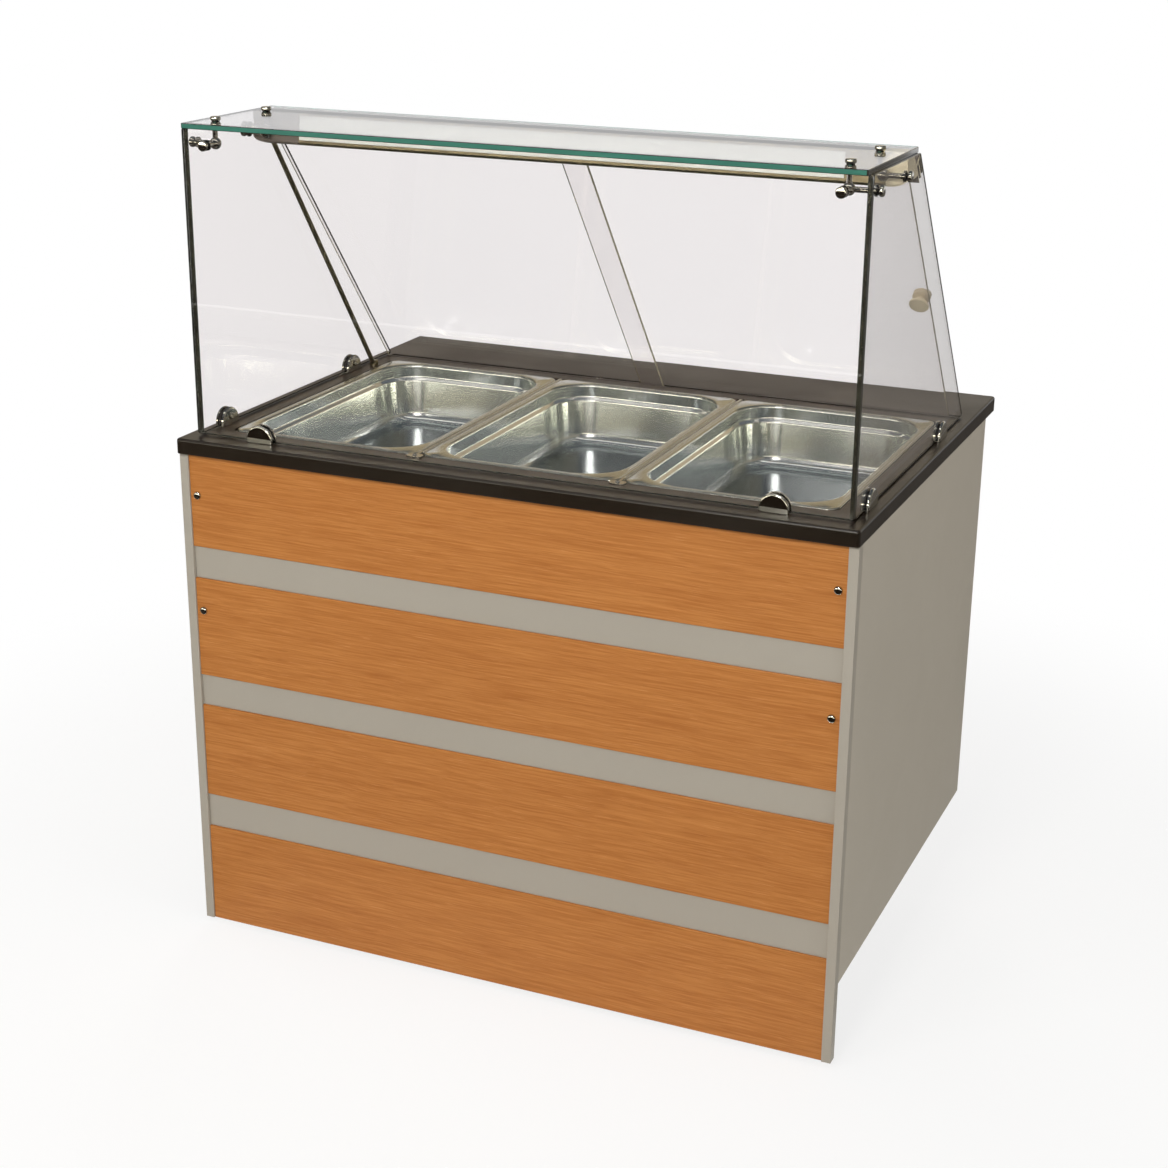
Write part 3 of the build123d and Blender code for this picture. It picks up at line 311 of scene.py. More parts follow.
# %% Soft lamps
def soft_lamp(name, place, size, watts, tint=(1.0, 1.0, 1.0), mirrored=False):
    """A square soft box that shines at the counter; a mirrored one only makes highlights."""
    lamp = bpy.data.objects.new(name, bpy.data.lights.new(name, "AREA"))
    lamp.data.shape = "SQUARE"
    lamp.data.size = size
    lamp.data.energy = watts
    lamp.data.color = tint
    lamp.location = place
    lamp.rotation_euler = (counter_middle - Vector(place)).to_track_quat("-Z", "Y").to_euler()
    lamp.visible_camera = False
    lamp.visible_transmission = False
    lamp.visible_diffuse = not mirrored
    lamp.visible_glossy = mirrored
    scene.collection.objects.link(lamp)
    return lamp


soft_lamp("key_light", (-1.7, -3.9, 2.6), size=1.8, watts=45, tint=(1.0, 0.97, 0.92))
soft_lamp("spot_light", (0.35, -3.2, 2.6), size=0.55, watts=48, tint=(1.0, 0.98, 0.94))
soft_lamp("shine_light", (0.35, -3.2, 2.6), size=0.75, watts=110, tint=(1.0, 0.98, 0.94), mirrored=True)
soft_lamp("side_light", (3.6, -0.9, 1.7), size=1.6, watts=28, tint=(1.0, 0.97, 0.93))
soft_lamp("top_light", (0.3, -0.6, 3.9), size=1.2, watts=28)
soft_lamp("back_light", (-1.4, 4.2, 2.2), size=1.8, watts=60, tint=(1.0, 0.98, 0.95))
soft_lamp("left_light", (-3.8, 0.6, 1.6), size=1.6, watts=26, tint=(1.0, 0.98, 0.95))

# %% [markdown]
# ## Shared effects
# Several finishes need the same effects: long streaks (wood grain, brushed steel), fine specks (stone,
# plastic), hand marks that change the gloss, and edges that are worn a little lighter. Each is a shader
# node group with named inputs, built once and placed in each material with its own values.


# %% Short names for common nodes
def vector(tree, **parts):
    """A vector from its X, Y and Z; a part that isn't given is 0."""
    return result_of(tree, "ShaderNodeCombineXYZ", parts)


def vector_maths(tree, operation, first, second, output=0):
    """A Vector Math node's result."""
    return result_of(tree, "ShaderNodeVectorMath", {0: first, 1: second}, output, operation=operation)


def noise(tree, place, scale, detail, **more):
    """A noise pattern at a place."""
    inputs = {"Vector": place, "Scale": scale, "Detail": detail, **more}
    return result_of(tree, "ShaderNodeTexNoise", inputs)


def ramp(tree, value, start, end):
    """0 to 1 as a value runs from start to end."""
    return result_of(tree, "ShaderNodeMapRange", {"Value": value, "From Min": start, "From Max": end})


def feed(tree, node, **outputs):
    """Links outputs to a node's sockets by name, with _ for a space."""
    for label, output in outputs.items():
        tree.links.new(output, node.inputs[label.replace("_", " ")])


# %% Groups of nodes
VALUE = "NodeSocketFloat"
PLACE = "NodeSocketVector"


def new_tree(kind, name, inputs, outputs):
    """An empty group with named sockets; gives its tree, its inputs and its output node."""
    tree = bpy.data.node_groups.new(name, kind)
    for way, sockets in (("INPUT", inputs), ("OUTPUT", outputs)):
        for label, socket_type in sockets.items():
            tree.interface.new_socket(label, in_out=way, socket_type=socket_type)
    return tree, tree.nodes.new("NodeGroupInput").outputs, tree.nodes.new("NodeGroupOutput")


def new_effect(name, sizes, results):
    """An empty shader group that reads a Vector and sizes."""
    inputs = {"Vector": PLACE, **dict.fromkeys(sizes, VALUE)}
    return new_tree("ShaderNodeTree", name, inputs, dict.fromkeys(results, VALUE))


def make_streaks_group():
    """Streaks that run along X, with a wave in them; Length and Width are in metres."""
    tree, given, end = new_effect("long_streaks", ["Length", "Width", "Wave"], ["Streak"])
    wander = maths(tree, "SUBTRACT", noise(tree, given["Vector"], scale=9.0, detail=1.0), 0.5)
    wave = maths(tree, "MULTIPLY", wander, given["Wave"])
    bent = vector_maths(tree, "ADD", given["Vector"], vector(tree, Y=wave, Z=wave))
    along = maths(tree, "DIVIDE", 1.0, given["Length"])
    across = maths(tree, "DIVIDE", 1.0, given["Width"])
    drawn = vector_maths(tree, "MULTIPLY", bent, vector(tree, X=along, Y=across, Z=across))
    feed(tree, end, Streak=noise(tree, drawn, scale=1.0, detail=3.0, Roughness=0.6))
    return tree


def make_specks_group():
    """Fine specks, as in stone, cast plastic or powder paint; Size is in metres, Amount is for Speck."""
    tree, given, end = new_effect("fine_specks", ["Size", "Amount"], ["Speck", "Grain"])
    scale = maths(tree, "DIVIDE", 1.0, given["Size"])
    grain = noise(tree, given["Vector"], scale, detail=2.0)
    limit = maths(tree, "SUBTRACT", 1.0, given["Amount"])
    feed(tree, end, Speck=ramp(tree, grain, limit, maths(tree, "ADD", limit, 0.12)), Grain=grain)
    return tree


def make_marks_group():
    """Soft blots where hands and cloths have been; Size is in metres."""
    tree, given, end = new_effect("hand_marks", ["Size"], ["Mark"])
    scale = maths(tree, "DIVIDE", 1.0, given["Size"])
    blots = noise(tree, given["Vector"], scale, detail=4.0, Distortion=0.6)
    feed(tree, end, Mark=ramp(tree, blots, 0.35, 0.7))
    return tree


def make_wear_group():
    """A mask along edges, broken by noise; Width is in metres."""
    tree, given, end = new_effect("worn_edges", ["Width"], ["Wear"])
    rounded = result_of(tree, "ShaderNodeBevel", {"Radius": given["Width"]}, samples=4)
    facing = result_of(tree, "ShaderNodeNewGeometry", output="True Normal")
    edge = ramp(tree, vector_maths(tree, "DOT_PRODUCT", rounded, facing, "Value"), 0.97, 0.8)
    gate = ramp(tree, noise(tree, given["Vector"], scale=60.0, detail=3.0), 0.4, 0.62)
    feed(tree, end, Wear=maths(tree, "MULTIPLY", edge, gate))
    return tree


streaks_group = make_streaks_group()
specks_group = make_specks_group()
marks_group = make_marks_group()
wear_group = make_wear_group()
print("shared effects:", [group.name for group in bpy.data.node_groups])

# %% [markdown]
# ## Finishes
# Every finish is a Principled shader with its own small recipe. Plain numbers go straight on the
# shader's sockets, and what changes over the surface comes from the shared effects above, read in
# Object coordinates so that grain and specks have their real size on every piece.


# %% Start of a material
def start_finish(name, **plain):
    """A material, its tree, its shader and its Object coordinates; plain values go on the shader."""
    material = bpy.data.materials.new(name)
    material.use_nodes = True
    tree = material.node_tree
    shader = tree.nodes["Principled BSDF"]
    for label, value in plain.items():
        shader.inputs[label.replace("_", " ")].default_value = value
    return material, tree, shader, result_of(tree, "ShaderNodeTexCoord", output="Object")


def effect(tree, group, place, output, **sizes):
    """An output of a shared effect, placed in a material with its own sizes."""
    return result_of(tree, "ShaderNodeGroup", {"Vector": place, **sizes}, output, node_tree=group)


def bumped(tree, shader, height, strength, distance=0.4 * MM):
    """A Bump from a height into the shader's Normal."""
    bump = {"Height": height, "Strength": strength, "Distance": distance}
    feed(tree, shader, Normal=result_of(tree, "ShaderNodeBump", bump))


def mixed(tree, factor, first, second, blend="MIX"):
    """A colour between two colours."""
    inputs = {0: factor, 6: first, 7: second}
    return result_of(tree, "ShaderNodeMix", inputs, 2, data_type="RGBA", blend_type=blend)


def laid_over(tree, tone, colour, mask, share):
    """A tone with a share of another colour where a mask is set."""
    return mixed(tree, maths(tree, "MULTIPLY", mask, share), tone, colour)


def between(tree, factor, low, high):
    """A value that runs from low to high as factor runs from 0 to 1."""
    return result_of(tree, "ShaderNodeMapRange", {"Value": factor, "To Min": low, "To Max": high})


def shaded(colour, share, lift=0.0):
    """A darker or lighter colour."""
    return (*(min(1.0, part * share + lift) for part in colour[:3]), 1.0)


# %% [markdown]
# The boards are thin wood faces with the grain lying level. A photograph of wood would do, but a drawn
# grain has its real size on every board and needs no picture: broad bands, fine streaks, dark pores and
# pale flecks are four readings of one streak effect. Each board carries a number that moves its pattern,
# so no two boards are alike.


# %% Wood board
def make_wood():
    """Boards with fine streaks that run sideways, a few dark pores, pale flecks and a satin lacquer."""
    material, tree, shader, place = start_finish("wood_board", Specular_IOR_Level=0.3)
    board = result_of(tree, "ShaderNodeAttribute", output="Fac", attribute_name="board_shift")
    moved = vector_maths(tree, "ADD", place, vector(tree, X=board, Z=board))
    fine = effect(tree, streaks_group, moved, "Streak", Length=0.11, Width=0.0028, Wave=0.005)
    broad = effect(tree, streaks_group, moved, "Streak", Length=0.34, Width=0.02, Wave=0.01)
    pores = effect(tree, streaks_group, moved, "Streak", Length=0.05, Width=0.0012, Wave=0.005)
    ground = mixed(tree, broad, rgb(158, 92, 34), rgb(198, 132, 66))
    figure = mixed(tree, ramp(tree, fine, 0.36, 0.64), rgb(163, 97, 40), rgb(199, 134, 70))
    tone = mixed(tree, 0.5, ground, figure)
    tone = laid_over(tree, tone, rgb(138, 76, 26), ramp(tree, pores, 0.58, 0.72), share=0.45)
    tone = laid_over(tree, tone, rgb(214, 152, 92), ramp(tree, pores, 0.4, 0.28), share=0.5)
    feed(tree, shader, Base_Color=tone, Roughness=between(tree, fine, 0.38, 0.52))
    bumped(tree, shader, pores, strength=0.12)
    return material


finishes = {"oak_board": make_wood()}
print("wood:", list(finishes))

# %% [markdown]
# The body is grey laminate and the worktop a near-black slab. Both look plain from afar, but a plain
# colour would look like paper: a fine grain, a few wiped patches and slightly worn edges make them real.


# %% Grey laminate and dark slab
def make_grey(name, colour):
    """Grey laminate with a very fine grain, a few hand marks and edges rubbed lighter."""
    material, tree, shader, place = start_finish(name, Specular_IOR_Level=0.35)
    grain = effect(tree, specks_group, place, "Grain", Size=0.0009)
    marks = effect(tree, marks_group, place, "Mark", Size=0.22)
    wear = effect(tree, wear_group, place, "Wear", Width=0.0015)
    tone = mixed(tree, grain, shaded(colour, 0.93), colour)
    tone = laid_over(tree, tone, shaded(colour, 1.25), wear, share=0.6)
    feed(tree, shader, Base_Color=tone, Roughness=between(tree, marks, 0.42, 0.55))
    bumped(tree, shader, grain, strength=0.06)
    return material


def make_slab():
    """Near-black brown worktop with a faint grain, wiped to a satin gloss."""
    material, tree, shader, place = start_finish("dark_slab", Specular_IOR_Level=0.45)
    grain = effect(tree, streaks_group, place, "Streak", Length=0.16, Width=0.004, Wave=0.01)
    specks = effect(tree, specks_group, place, "Speck", Size=0.0012, Amount=0.36)
    marks = effect(tree, marks_group, place, "Mark", Size=0.18)
    wear = effect(tree, wear_group, place, "Wear", Width=0.003)
    tone = mixed(tree, grain, rgb(17, 12, 7), rgb(36, 26, 16))
    tone = laid_over(tree, tone, rgb(74, 64, 52), specks, share=0.3)
    tone = laid_over(tree, tone, rgb(90, 79, 66), wear, share=0.5)
    feed(tree, shader, Base_Color=tone, Roughness=between(tree, marks, 0.29, 0.38))
    bumped(tree, shader, grain, strength=0.08)
    return material


finishes.update(
    grey_board=make_grey("grey_board_laminate", rgb(170, 164, 153)),
    grey_side=make_grey("grey_side_laminate", rgb(192, 185, 172)),
    worktop_stone=make_slab(),
)
print("with laminate and slab:", list(finishes))

# %% [markdown]
# Bare metal has no colour of its own to speak of: its look is what it mirrors, and how sharply. So these
# recipes mostly drive the roughness, with drawn streaks and finger marks. The pans are the brightest
# metal. Their floor is painted a darker blue-grey and their rim top a darker khaki, a painted reflection
# of a dark room, and a slow waver in the normal bends the reflections as deep-drawn sheet does.


# %% Metals
def make_metal(name, colour, smooth, rough, mark_size=0.09, relief=0.03):
    """A bare metal with drawn streaks and hand marks that change its gloss from smooth to rough."""
    material, tree, shader, place = start_finish(name, Metallic=1.0)
    drawn = effect(tree, streaks_group, place, "Streak", Length=0.1, Width=0.0006)
    marks = effect(tree, marks_group, place, "Mark", Size=mark_size)
    tone = mixed(tree, drawn, shaded(colour, 0.88), colour)
    dullness = maths(tree, "MULTIPLY", maths(tree, "ADD", drawn, marks), 0.5)
    feed(tree, shader, Base_Color=tone, Roughness=between(tree, dullness, smooth, rough))
    bumped(tree, shader, drawn, relief, distance=0.2 * MM)
    return material


finishes.update(
    stainless=make_metal("satin_stainless", rgb(205, 202, 192), 0.29, 0.4),
    chrome=make_metal("bright_chrome", rgb(196, 193, 184), 0.04, 0.12, mark_size=0.03, relief=0.0),
    zinc_steel=make_metal("zinc_plated_steel", rgb(176, 176, 170), 0.3, 0.45, mark_size=0.02),
    valve_brass=make_metal("cast_brass", rgb(196, 160, 90), 0.29, 0.42, mark_size=0.02),
    lamp_metal=make_metal("lamp_sheet", rgb(136, 127, 102), 0.29, 0.42),
)
print("with metals:", len(finishes), "finishes")


# %% Steel of the pans
def make_pan_steel(foot, brim):
    """Deep-drawn steel that wavers where it was stretched, with painted reflection darkening its floor and
    rim top.
    """
    material, tree, shader, place = start_finish("drawn_pan_steel", Metallic=1.0)
    rubbed = effect(tree, streaks_group, place, "Streak", Length=0.05, Width=0.0006)
    marks = effect(tree, marks_group, place, "Mark", Size=0.07)
    tone = mixed(tree, rubbed, rgb(222, 226, 222), rgb(240, 243, 239))
    height = result_of(tree, "ShaderNodeSeparateXYZ", {0: place}, "Z")
    # Painted reflection: the floor is tinted darker blue-grey and the rim top darker khaki, for the dark
    # room the steel mirrors there.
    floor_painted_reflection = (foot + 12 * MM, foot, rgb(160, 168, 177))
    rim_painted_reflection = (brim - 3 * MM, brim - 1 * MM, rgb(214, 212, 202))
    for start, end, painted_reflection_tint in (floor_painted_reflection, rim_painted_reflection):
        tone = mixed(tree, ramp(tree, height, start, end), tone, painted_reflection_tint, "MULTIPLY")
    feed(tree, shader, Base_Color=tone, Roughness=between(tree, marks, 0.16, 0.18))
    waver = noise(tree, place, scale=14.0, detail=1.0)
    bumped(tree, shader, waver, strength=0.06, distance=2 * MM)
    return material


pan_steel = make_pan_steel(*(corner[2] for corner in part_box("pan_middle")))
print("the pans have their own steel:", pan_steel.name)

# %% [markdown]
# Knobs, switches, rubber pads and painted ends are all moulded or sprayed: a fine spark texture, a gloss
# that fingers have changed, and edges rubbed a little lighter. One recipe covers them, and the colour and
# the gloss tell them apart.


# %% Plastics, rubber and paint
def make_plastic(name, colour, roughness, relief=0.08):
    """Moulded plastic, rubber or paint: a fine spark texture, hand marks, edges rubbed lighter."""
    material, tree, shader, place = start_finish(name)
    spark = effect(tree, specks_group, place, "Grain", Size=0.0008)
    marks = effect(tree, marks_group, place, "Mark", Size=0.05)
    wear = effect(tree, wear_group, place, "Wear", Width=0.0012)
    tone = mixed(tree, spark, shaded(colour, 0.9), colour)
    tone = laid_over(tree, tone, shaded(colour, 1.3, lift=0.01), wear, share=0.6)
    gloss = between(tree, marks, roughness * 0.85, roughness * 1.15)
    feed(tree, shader, Base_Color=tone, Roughness=gloss)
    bumped(tree, shader, spark, relief, distance=0.2 * MM)
    return material


finishes.update(
    lamp_white=make_plastic("lamp_diffuser", rgb(186, 190, 182), 0.4, relief=0.02),
    lamp_glass=make_plastic("tube_glass", rgb(236, 238, 236), 0.15, relief=0.0),
    socket_white=make_plastic("socket_plastic", rgb(225, 222, 212), 0.45),
    knob_cream=make_plastic("knob_plastic", rgb(188, 178, 150), 0.35, relief=0.03),
    pad_rubber=make_plastic("pad_rubber", rgb(34, 33, 32), 0.7),
    track_dark=make_plastic("track_plastic", rgb(46, 42, 38), 0.45),
    control_black=make_plastic("control_plastic", rgb(34, 34, 35), 0.5),
    rocker_green=make_plastic("rocker_plastic", rgb(40, 130, 60), 0.36, relief=0.02),
    pilot_amber=make_plastic("pilot_lens", rgb(220, 130, 30), 0.2, relief=0.02),
    lever_red=make_plastic("lever_grip", rgb(170, 34, 28), 0.4),
    foot_grey=make_plastic("foot_plastic", rgb(60, 60, 62), 0.55),
)
print("with plastics:", len(finishes), "finishes")

# %% [markdown]
# The guard is clear float glass. A ray tracer bends light in it, and then a lamp outside would throw no
# light on the pans inside. So for the rays that ask whether a lamp is in sight, the glass is simply
# clear. The edge of a pane is where glass shows its colour, because there the light has come a long way
# through it. The edges have opaque finishes of their own, from olive to teal: the green is the glass's
# own tint, and how bright or dark each edge looks is painted light and painted shade.


# %% Glass
def make_glass(name, tint):
    """Clear glass that lets lamps through; smears change its gloss a little."""
    material, tree, shader, place = start_finish(name, Base_Color=tint, Transmission_Weight=1.0, IOR=1.46)
    smears = effect(tree, marks_group, place, "Mark", Size=0.3)
    feed(tree, shader, Roughness=between(tree, smears, 0.0, 0.003))
    clear = result_of(tree, "ShaderNodeBsdfTransparent", {"Color": tint})
    to_a_lamp = result_of(tree, "ShaderNodeLightPath", output="Is Shadow Ray")
    lets_light = shader_mix(tree, to_a_lamp, shader.outputs[0], clear)
    feed(tree, tree.nodes["Material Output"], Surface=lets_light)
    return material


clear_tint = rgb(255, 253, 253)
finishes.update({slot: make_glass(slot + "_face", clear_tint) for slot in ("guard_glass", "door_glass")})
print("with glass:", len(finishes), "finishes")


# %% Edges of glass
def make_glass_edge(name, colour):
    """The polished edge of a pane: the glass's own green, with painted light and shade in bands along it.
    """
    material, tree, shader, place = start_finish(name, Roughness=0.12, Coat_Weight=0.6, Coat_Roughness=0.05)
    # Painted light and shade: lighter and darker bands along the edge.
    bands = effect(tree, streaks_group, place, "Streak", Length=0.09, Width=0.02)
    feed(tree, shader, Base_Color=mixed(tree, bands, shaded(colour, 0.65), shaded(colour, 1.25)))
    return material


# The four edge finishes share the glass's own green; their brightness is painted light and painted shade.
glass_olive = make_glass_edge("glass_olive_edge", rgb(150, 145, 124))
teal_painted_glow = make_glass_edge("glass_edge_painted_glow", rgb(66, 122, 108))
glass_dark = make_glass_edge("glass_dark_edge", rgb(40, 40, 32))
glass_arris = make_glass_edge("glass_ground_arris", rgb(24, 28, 24))
print("edges:", [edge.name for edge in (glass_olive, teal_painted_glow, glass_dark, glass_arris)])

# %% [markdown]
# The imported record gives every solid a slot, the name of what it is made of. With one finish for each
# slot, a short loop dresses all the solids, and the pieces made below start from the same finishes.

# %% Finishes on the solids
slot_of = {name: node.data.materials[0].name for name, node in frame["nodes"].items()}
for name, node in frame["nodes"].items():
    node.material_slots[0].material = finishes[slot_of[name]]
print(len(finishes), "finishes on", len(frame["nodes"]), "nodes")

# %% [markdown]
# ## Softened pieces
# Sheet metal, laminate and glass never have a perfectly sharp edge: each edge catches a thin line of
# light. A copy of a solid's mesh is merged, its flat faces are joined, and a Bevel modifier rounds its
# edges. The copy then stands for the solid on the same body.


# %% Pieces that stand for a solid
def new_piece(name, mesh, body):
    """An object of a finished mesh that rides on a body."""
    piece = bpy.data.objects.new(name, mesh)
    scene.collection.objects.link(piece)
    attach(piece, body)
    return piece


def standing_for(name, mesh, node):
    """A piece on a node's body that takes the node's place."""
    piece = new_piece(name, mesh, frame["nodes"][node]["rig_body"])
    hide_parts(node)
    return piece


# %% Softened copy of a solid
MERGE_DISTANCE = 0.002 * MM
FLAT_ANGLE = math.radians(0.3)
SHARP_ANGLE = math.radians(32)


def merged_mesh(node, name):
    """A merged copy of a solid's mesh, with its flat faces joined."""
    mesh = frame["nodes"][node].data.copy()
    mesh.name = name
    for layer in ("custom_normal", "sharp_edge", "sharp_face"):
        if layer in mesh.attributes:
            mesh.attributes.remove(mesh.attributes[layer])
    work = bmesh.new()
    work.from_mesh(mesh)
    bmesh.ops.remove_doubles(work, verts=work.verts, dist=MERGE_DISTANCE)
    bmesh.ops.dissolve_limit(
        work, angle_limit=FLAT_ANGLE, verts=work.verts, edges=work.edges, delimit={"NORMAL"}
    )
    work.to_mesh(mesh)
    work.free()
    return mesh


def softened(node, width, segments=2):
    """A copy of a solid with rounded edges, on the solid's body and in its place."""
    mesh = merged_mesh(node, node + "_soft")
    mesh.shade_smooth()
    piece = standing_for(node + "_soft", mesh, node)
    bevel = piece.modifiers.new("edge", "BEVEL")
    bevel.width = width
    bevel.segments = segments
    bevel.limit_method = "ANGLE"
    bevel.angle_limit = SHARP_ANGLE
    bevel.harden_normals = True
    bevel.use_clamp_overlap = False
    return piece


# %% Boards, stiles and panels
board_edge = 0.8 * MM
board_count = 4
board_shift_step = 3.7
for index in range(1, board_count + 1):
    board = softened(f"board_{index}", board_edge)
    shift = board.data.attributes.new("board_shift", "FLOAT", "POINT")
    shift.data.foreach_set("value", [index * board_shift_step] * len(board.data.vertices))
for node in ("stile_left", "stile_right", "side_panel_left", "side_panel_right", "bottom_panel"):
    softened(node, board_edge)
print("boards and panels have edges of", board_edge / MM, "mm")

# %% Sheet metal, clamps and switches
clamp_edge = 0.8 * MM
sheet_edge = 0.4 * MM
sheet_nodes = ["front_panel", "control_panel", "lamp_housing", "lamp_diffuser", "lamp_end_caps"]
sheet_nodes += ["upper_door_track", "lower_door_track", "divider_bars", "divider_tabs", "worktop_brackets"]
sheet_nodes += ["main_switch_housing", "light_switch_housing", "main_switch_rocker", "light_switch_rocker"]
sheets = {node: softened(node, sheet_edge).data for node in sheet_nodes}
for node in ("front_clamps", "side_clamps"):
    softened(node, clamp_edge)
print(len(sheets), "pieces of sheet and plastic have edges of", sheet_edge / MM, "mm")

# %% [markdown]
# The lamp's ends aren't alike: the left one is dark grey and reaches to the diffuser, the right one and
# the end of the door track above it are pale khaki. The dark grey is painted shade and the pale khaki
# painted light. The paint is a second material on one mesh. On the long housing it ends in the middle
# of a face, so a flat cut across the housing gives it an edge to end at.

# %% Painted shade and painted light on the ends of the lamp
cap_reach = 32 * MM
# Painted shade for the left end and painted light for the right ends of the lamp and its door track.
painted_shade_end = make_plastic("lamp_end_painted_shade_plastic", rgb(84, 77, 68), 0.45, relief=0.03)
painted_light_end = make_plastic("lamp_end_painted_light_paint", rgb(206, 198, 166), 0.4, relief=0.02)

housing = sheets["lamp_housing"]
housing_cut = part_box("lamp_diffuser")[0][0] - 1 * MM
work = bmesh.new()
work.from_mesh(housing)
everything = [*work.verts, *work.edges, *work.faces]
bmesh.ops.bisect_plane(work, geom=everything, plane_co=(housing_cut, 0, 0), plane_no=RIGHT)
work.to_mesh(housing)
work.free()
housing.materials.append(painted_shade_end)
for face in housing.polygons:
    face.material_index = int(face.center.x < housing_cut)
for node in ("lamp_end_caps", "upper_door_track"):
    capped = sheets[node]
    capped.materials[0] = painted_shade_end
    capped.materials.append(painted_light_end)
    right_end = max(corner.co.x for corner in capped.vertices) - cap_reach
    for face in capped.polygons:
        face.material_index = int(face.center.x > right_end)
print("the dark end of the lamp reaches to x =", round(housing_cut, 3))

# %% [markdown]
# Each pane is a flat slab of glass with ground arrises. The two large faces are clear glass, and the
# narrow faces and the arrises get the edge finishes, chosen by the way each face points. The top pane
# lies level, and its long edges are painted with a teal glow, a painted highlight for the light they
# would catch from above.

# %% Panes of glass
ALONG = 0.9
CLEAR, GROUND, PLAIN, PAINTED_GLOW = range(4)
arris = 0.9 * MM


def pane(node, plain_edge, ground_edge):
    """A pane whose narrow faces are plain, or painted with a teal glow on the long edges of a level pane,
    as light from above would light them.
    """
    piece = softened(node, arris, segments=1)
    mesh = piece.data
    across = max(mesh.polygons, key=lambda face: face.area).normal.copy()
    for finish in (ground_edge, plain_edge, teal_painted_glow):
        mesh.materials.append(finish)
    for face in mesh.polygons:
        if abs(face.normal.dot(across)) > ALONG:
            face.material_index = CLEAR
        else:
            # Painted light: the long edges of the level top pane get the teal glow, as light from above
            # would make them glow.
            lit = abs(across.z) > ALONG and abs(face.normal.y) > ALONG
            face.material_index = PAINTED_GLOW if lit else PLAIN
    piece.modifiers["edge"].material = GROUND


for node in ("front_glass", "side_glass_left", "side_glass_right", "top_glass"):
    pane(node, glass_dark, glass_arris)
for node in ("door_left", "door_right"):
    pane(node, glass_olive, glass_olive)
print("panes have arrises of", arris / MM, "mm")

# %% [markdown]
# ## Drawn pans
# Each pan is pressed from one sheet: a flat rim with a rolled edge, a stacking shoulder, walls that lean
# in, and round corners everywhere. All of it follows one rule: the wall's profile runs around the
# outline of the mouth. Geometry Nodes say just that with Curve to Mesh, so the tree is short, the
# reflections run smoothly around the corners, and every size is a named input.


# %% Helpers for Geometry Nodes
COUNT = "NodeSocketInt"
FINISH = "NodeSocketMaterial"
SHAPE = "NodeSocketGeometry"


def new_shape(name, sizes, **others):
    """An empty Geometry Nodes tree that reads points, sizes, other inputs and a finish."""
    inputs = {"Geometry": SHAPE, **dict.fromkeys(sizes, VALUE), **others, "Finish": FINISH}
    return new_tree("GeometryNodeTree", name, inputs, {"Geometry": SHAPE})


def finish_shape(tree, given, end, shape):
    """Ends a tree: the instances are made real, shaded smooth, and given their finish."""
    real = result_of(tree, "GeometryNodeRealizeInstances", {0: shape})
    smooth = result_of(tree, "GeometryNodeSetShadeSmooth", {"Geometry": real})
    done = {"Geometry": smooth, "Material": given["Finish"]}
    feed(tree, end, Geometry=result_of(tree, "GeometryNodeSetMaterial", done))


def made_mesh(name, tree, sizes, finish, points=()):
    """Runs a tree on some points, each a place and a facing, and gives its result as a plain mesh."""
    start = bpy.data.meshes.new(name + "_points")
    start.from_pydata([place for place, _ in points], [], [])
    facing = start.attributes.new("facing", "FLOAT_VECTOR", "POINT")
    facing.data.foreach_set("vector", [part for _, way in points for part in way])
    piece = bpy.data.objects.new(name + "_maker", start)
    scene.collection.objects.link(piece)
    nodes = piece.modifiers.new("shape", "NODES")
    nodes.node_group = tree
    sockets = {item.name: item.identifier for item in tree.interface.items_tree if item.in_out == "INPUT"}
    for label, value in {**sizes, "Finish": finish}.items():
        nodes[sockets[label]] = value
    seen = piece.evaluated_get(bpy.context.evaluated_depsgraph_get())
    mesh = bpy.data.meshes.new_from_object(seen)
    mesh.name = name
    bpy.data.objects.remove(piece)
    bpy.data.meshes.remove(start)
    return mesh


# %% Profiles and outlines
def chosen(tree, values, kind):
    """A field that gives the first value to the first point, the second to the second, and so on."""
    index = result_of(tree, "GeometryNodeInputIndex")
    switch = add(tree, "GeometryNodeIndexSwitch", {"Index": index}, data_type=kind)
    while len(switch.index_switch_items) < len(values):
        switch.index_switch_items.new()
    for socket, value in zip(switch.inputs[1:], values):
        fill(tree, socket, value)
    return switch.outputs[0]


def rounded_off(tree, curve, radius, steps):
    """A curve with its corners rounded, in so many steps each."""
    fillet = {"Curve": curve, "Radius": radius, "Count": steps}
    return result_of(tree, "GeometryNodeFilletCurve", fillet, mode="POLY")


def profile(tree, corners, steps):
    """A curve through corners, each (out, down, radius), where the radius rounds the corner."""
    line = result_of(tree, "GeometryNodeMeshLine", {"Count": len(corners)})
    places = [vector(tree, X=out, Y=down) for out, down, _ in corners]
    bent = {"Geometry": line, "Position": chosen(tree, places, "VECTOR")}
    bent_line = result_of(tree, "GeometryNodeSetPosition", bent)
    curve = result_of(tree, "GeometryNodeMeshToCurve", {0: bent_line})
    return rounded_off(tree, curve, chosen(tree, [radius for _, _, radius in corners], "FLOAT"), steps)


def outline(tree, width, length, radius, steps=12):
    """A rectangle with round corners."""
    sides = {"Width": width, "Height": length}
    sharp = result_of(tree, "GeometryNodeCurvePrimitiveQuadrilateral", sides)
    return rounded_off(tree, sharp, radius, steps)


def swept(tree, path, section):
    """A section carried along a level path; its first axis points out of the path and its second down."""
    level = result_of(tree, "GeometryNodeSetCurveNormal", {0: path}, mode="Z_UP")
    return result_of(tree, "GeometryNodeCurveToMesh", {0: level, 1: section})


# %% Joined and moved shapes
def joined(tree, *parts):
    """Several shapes as one."""
    join = add(tree, "GeometryNodeJoinGeometry")
    for part in parts:
        tree.links.new(part, join.inputs[0])
    return join.outputs[0]


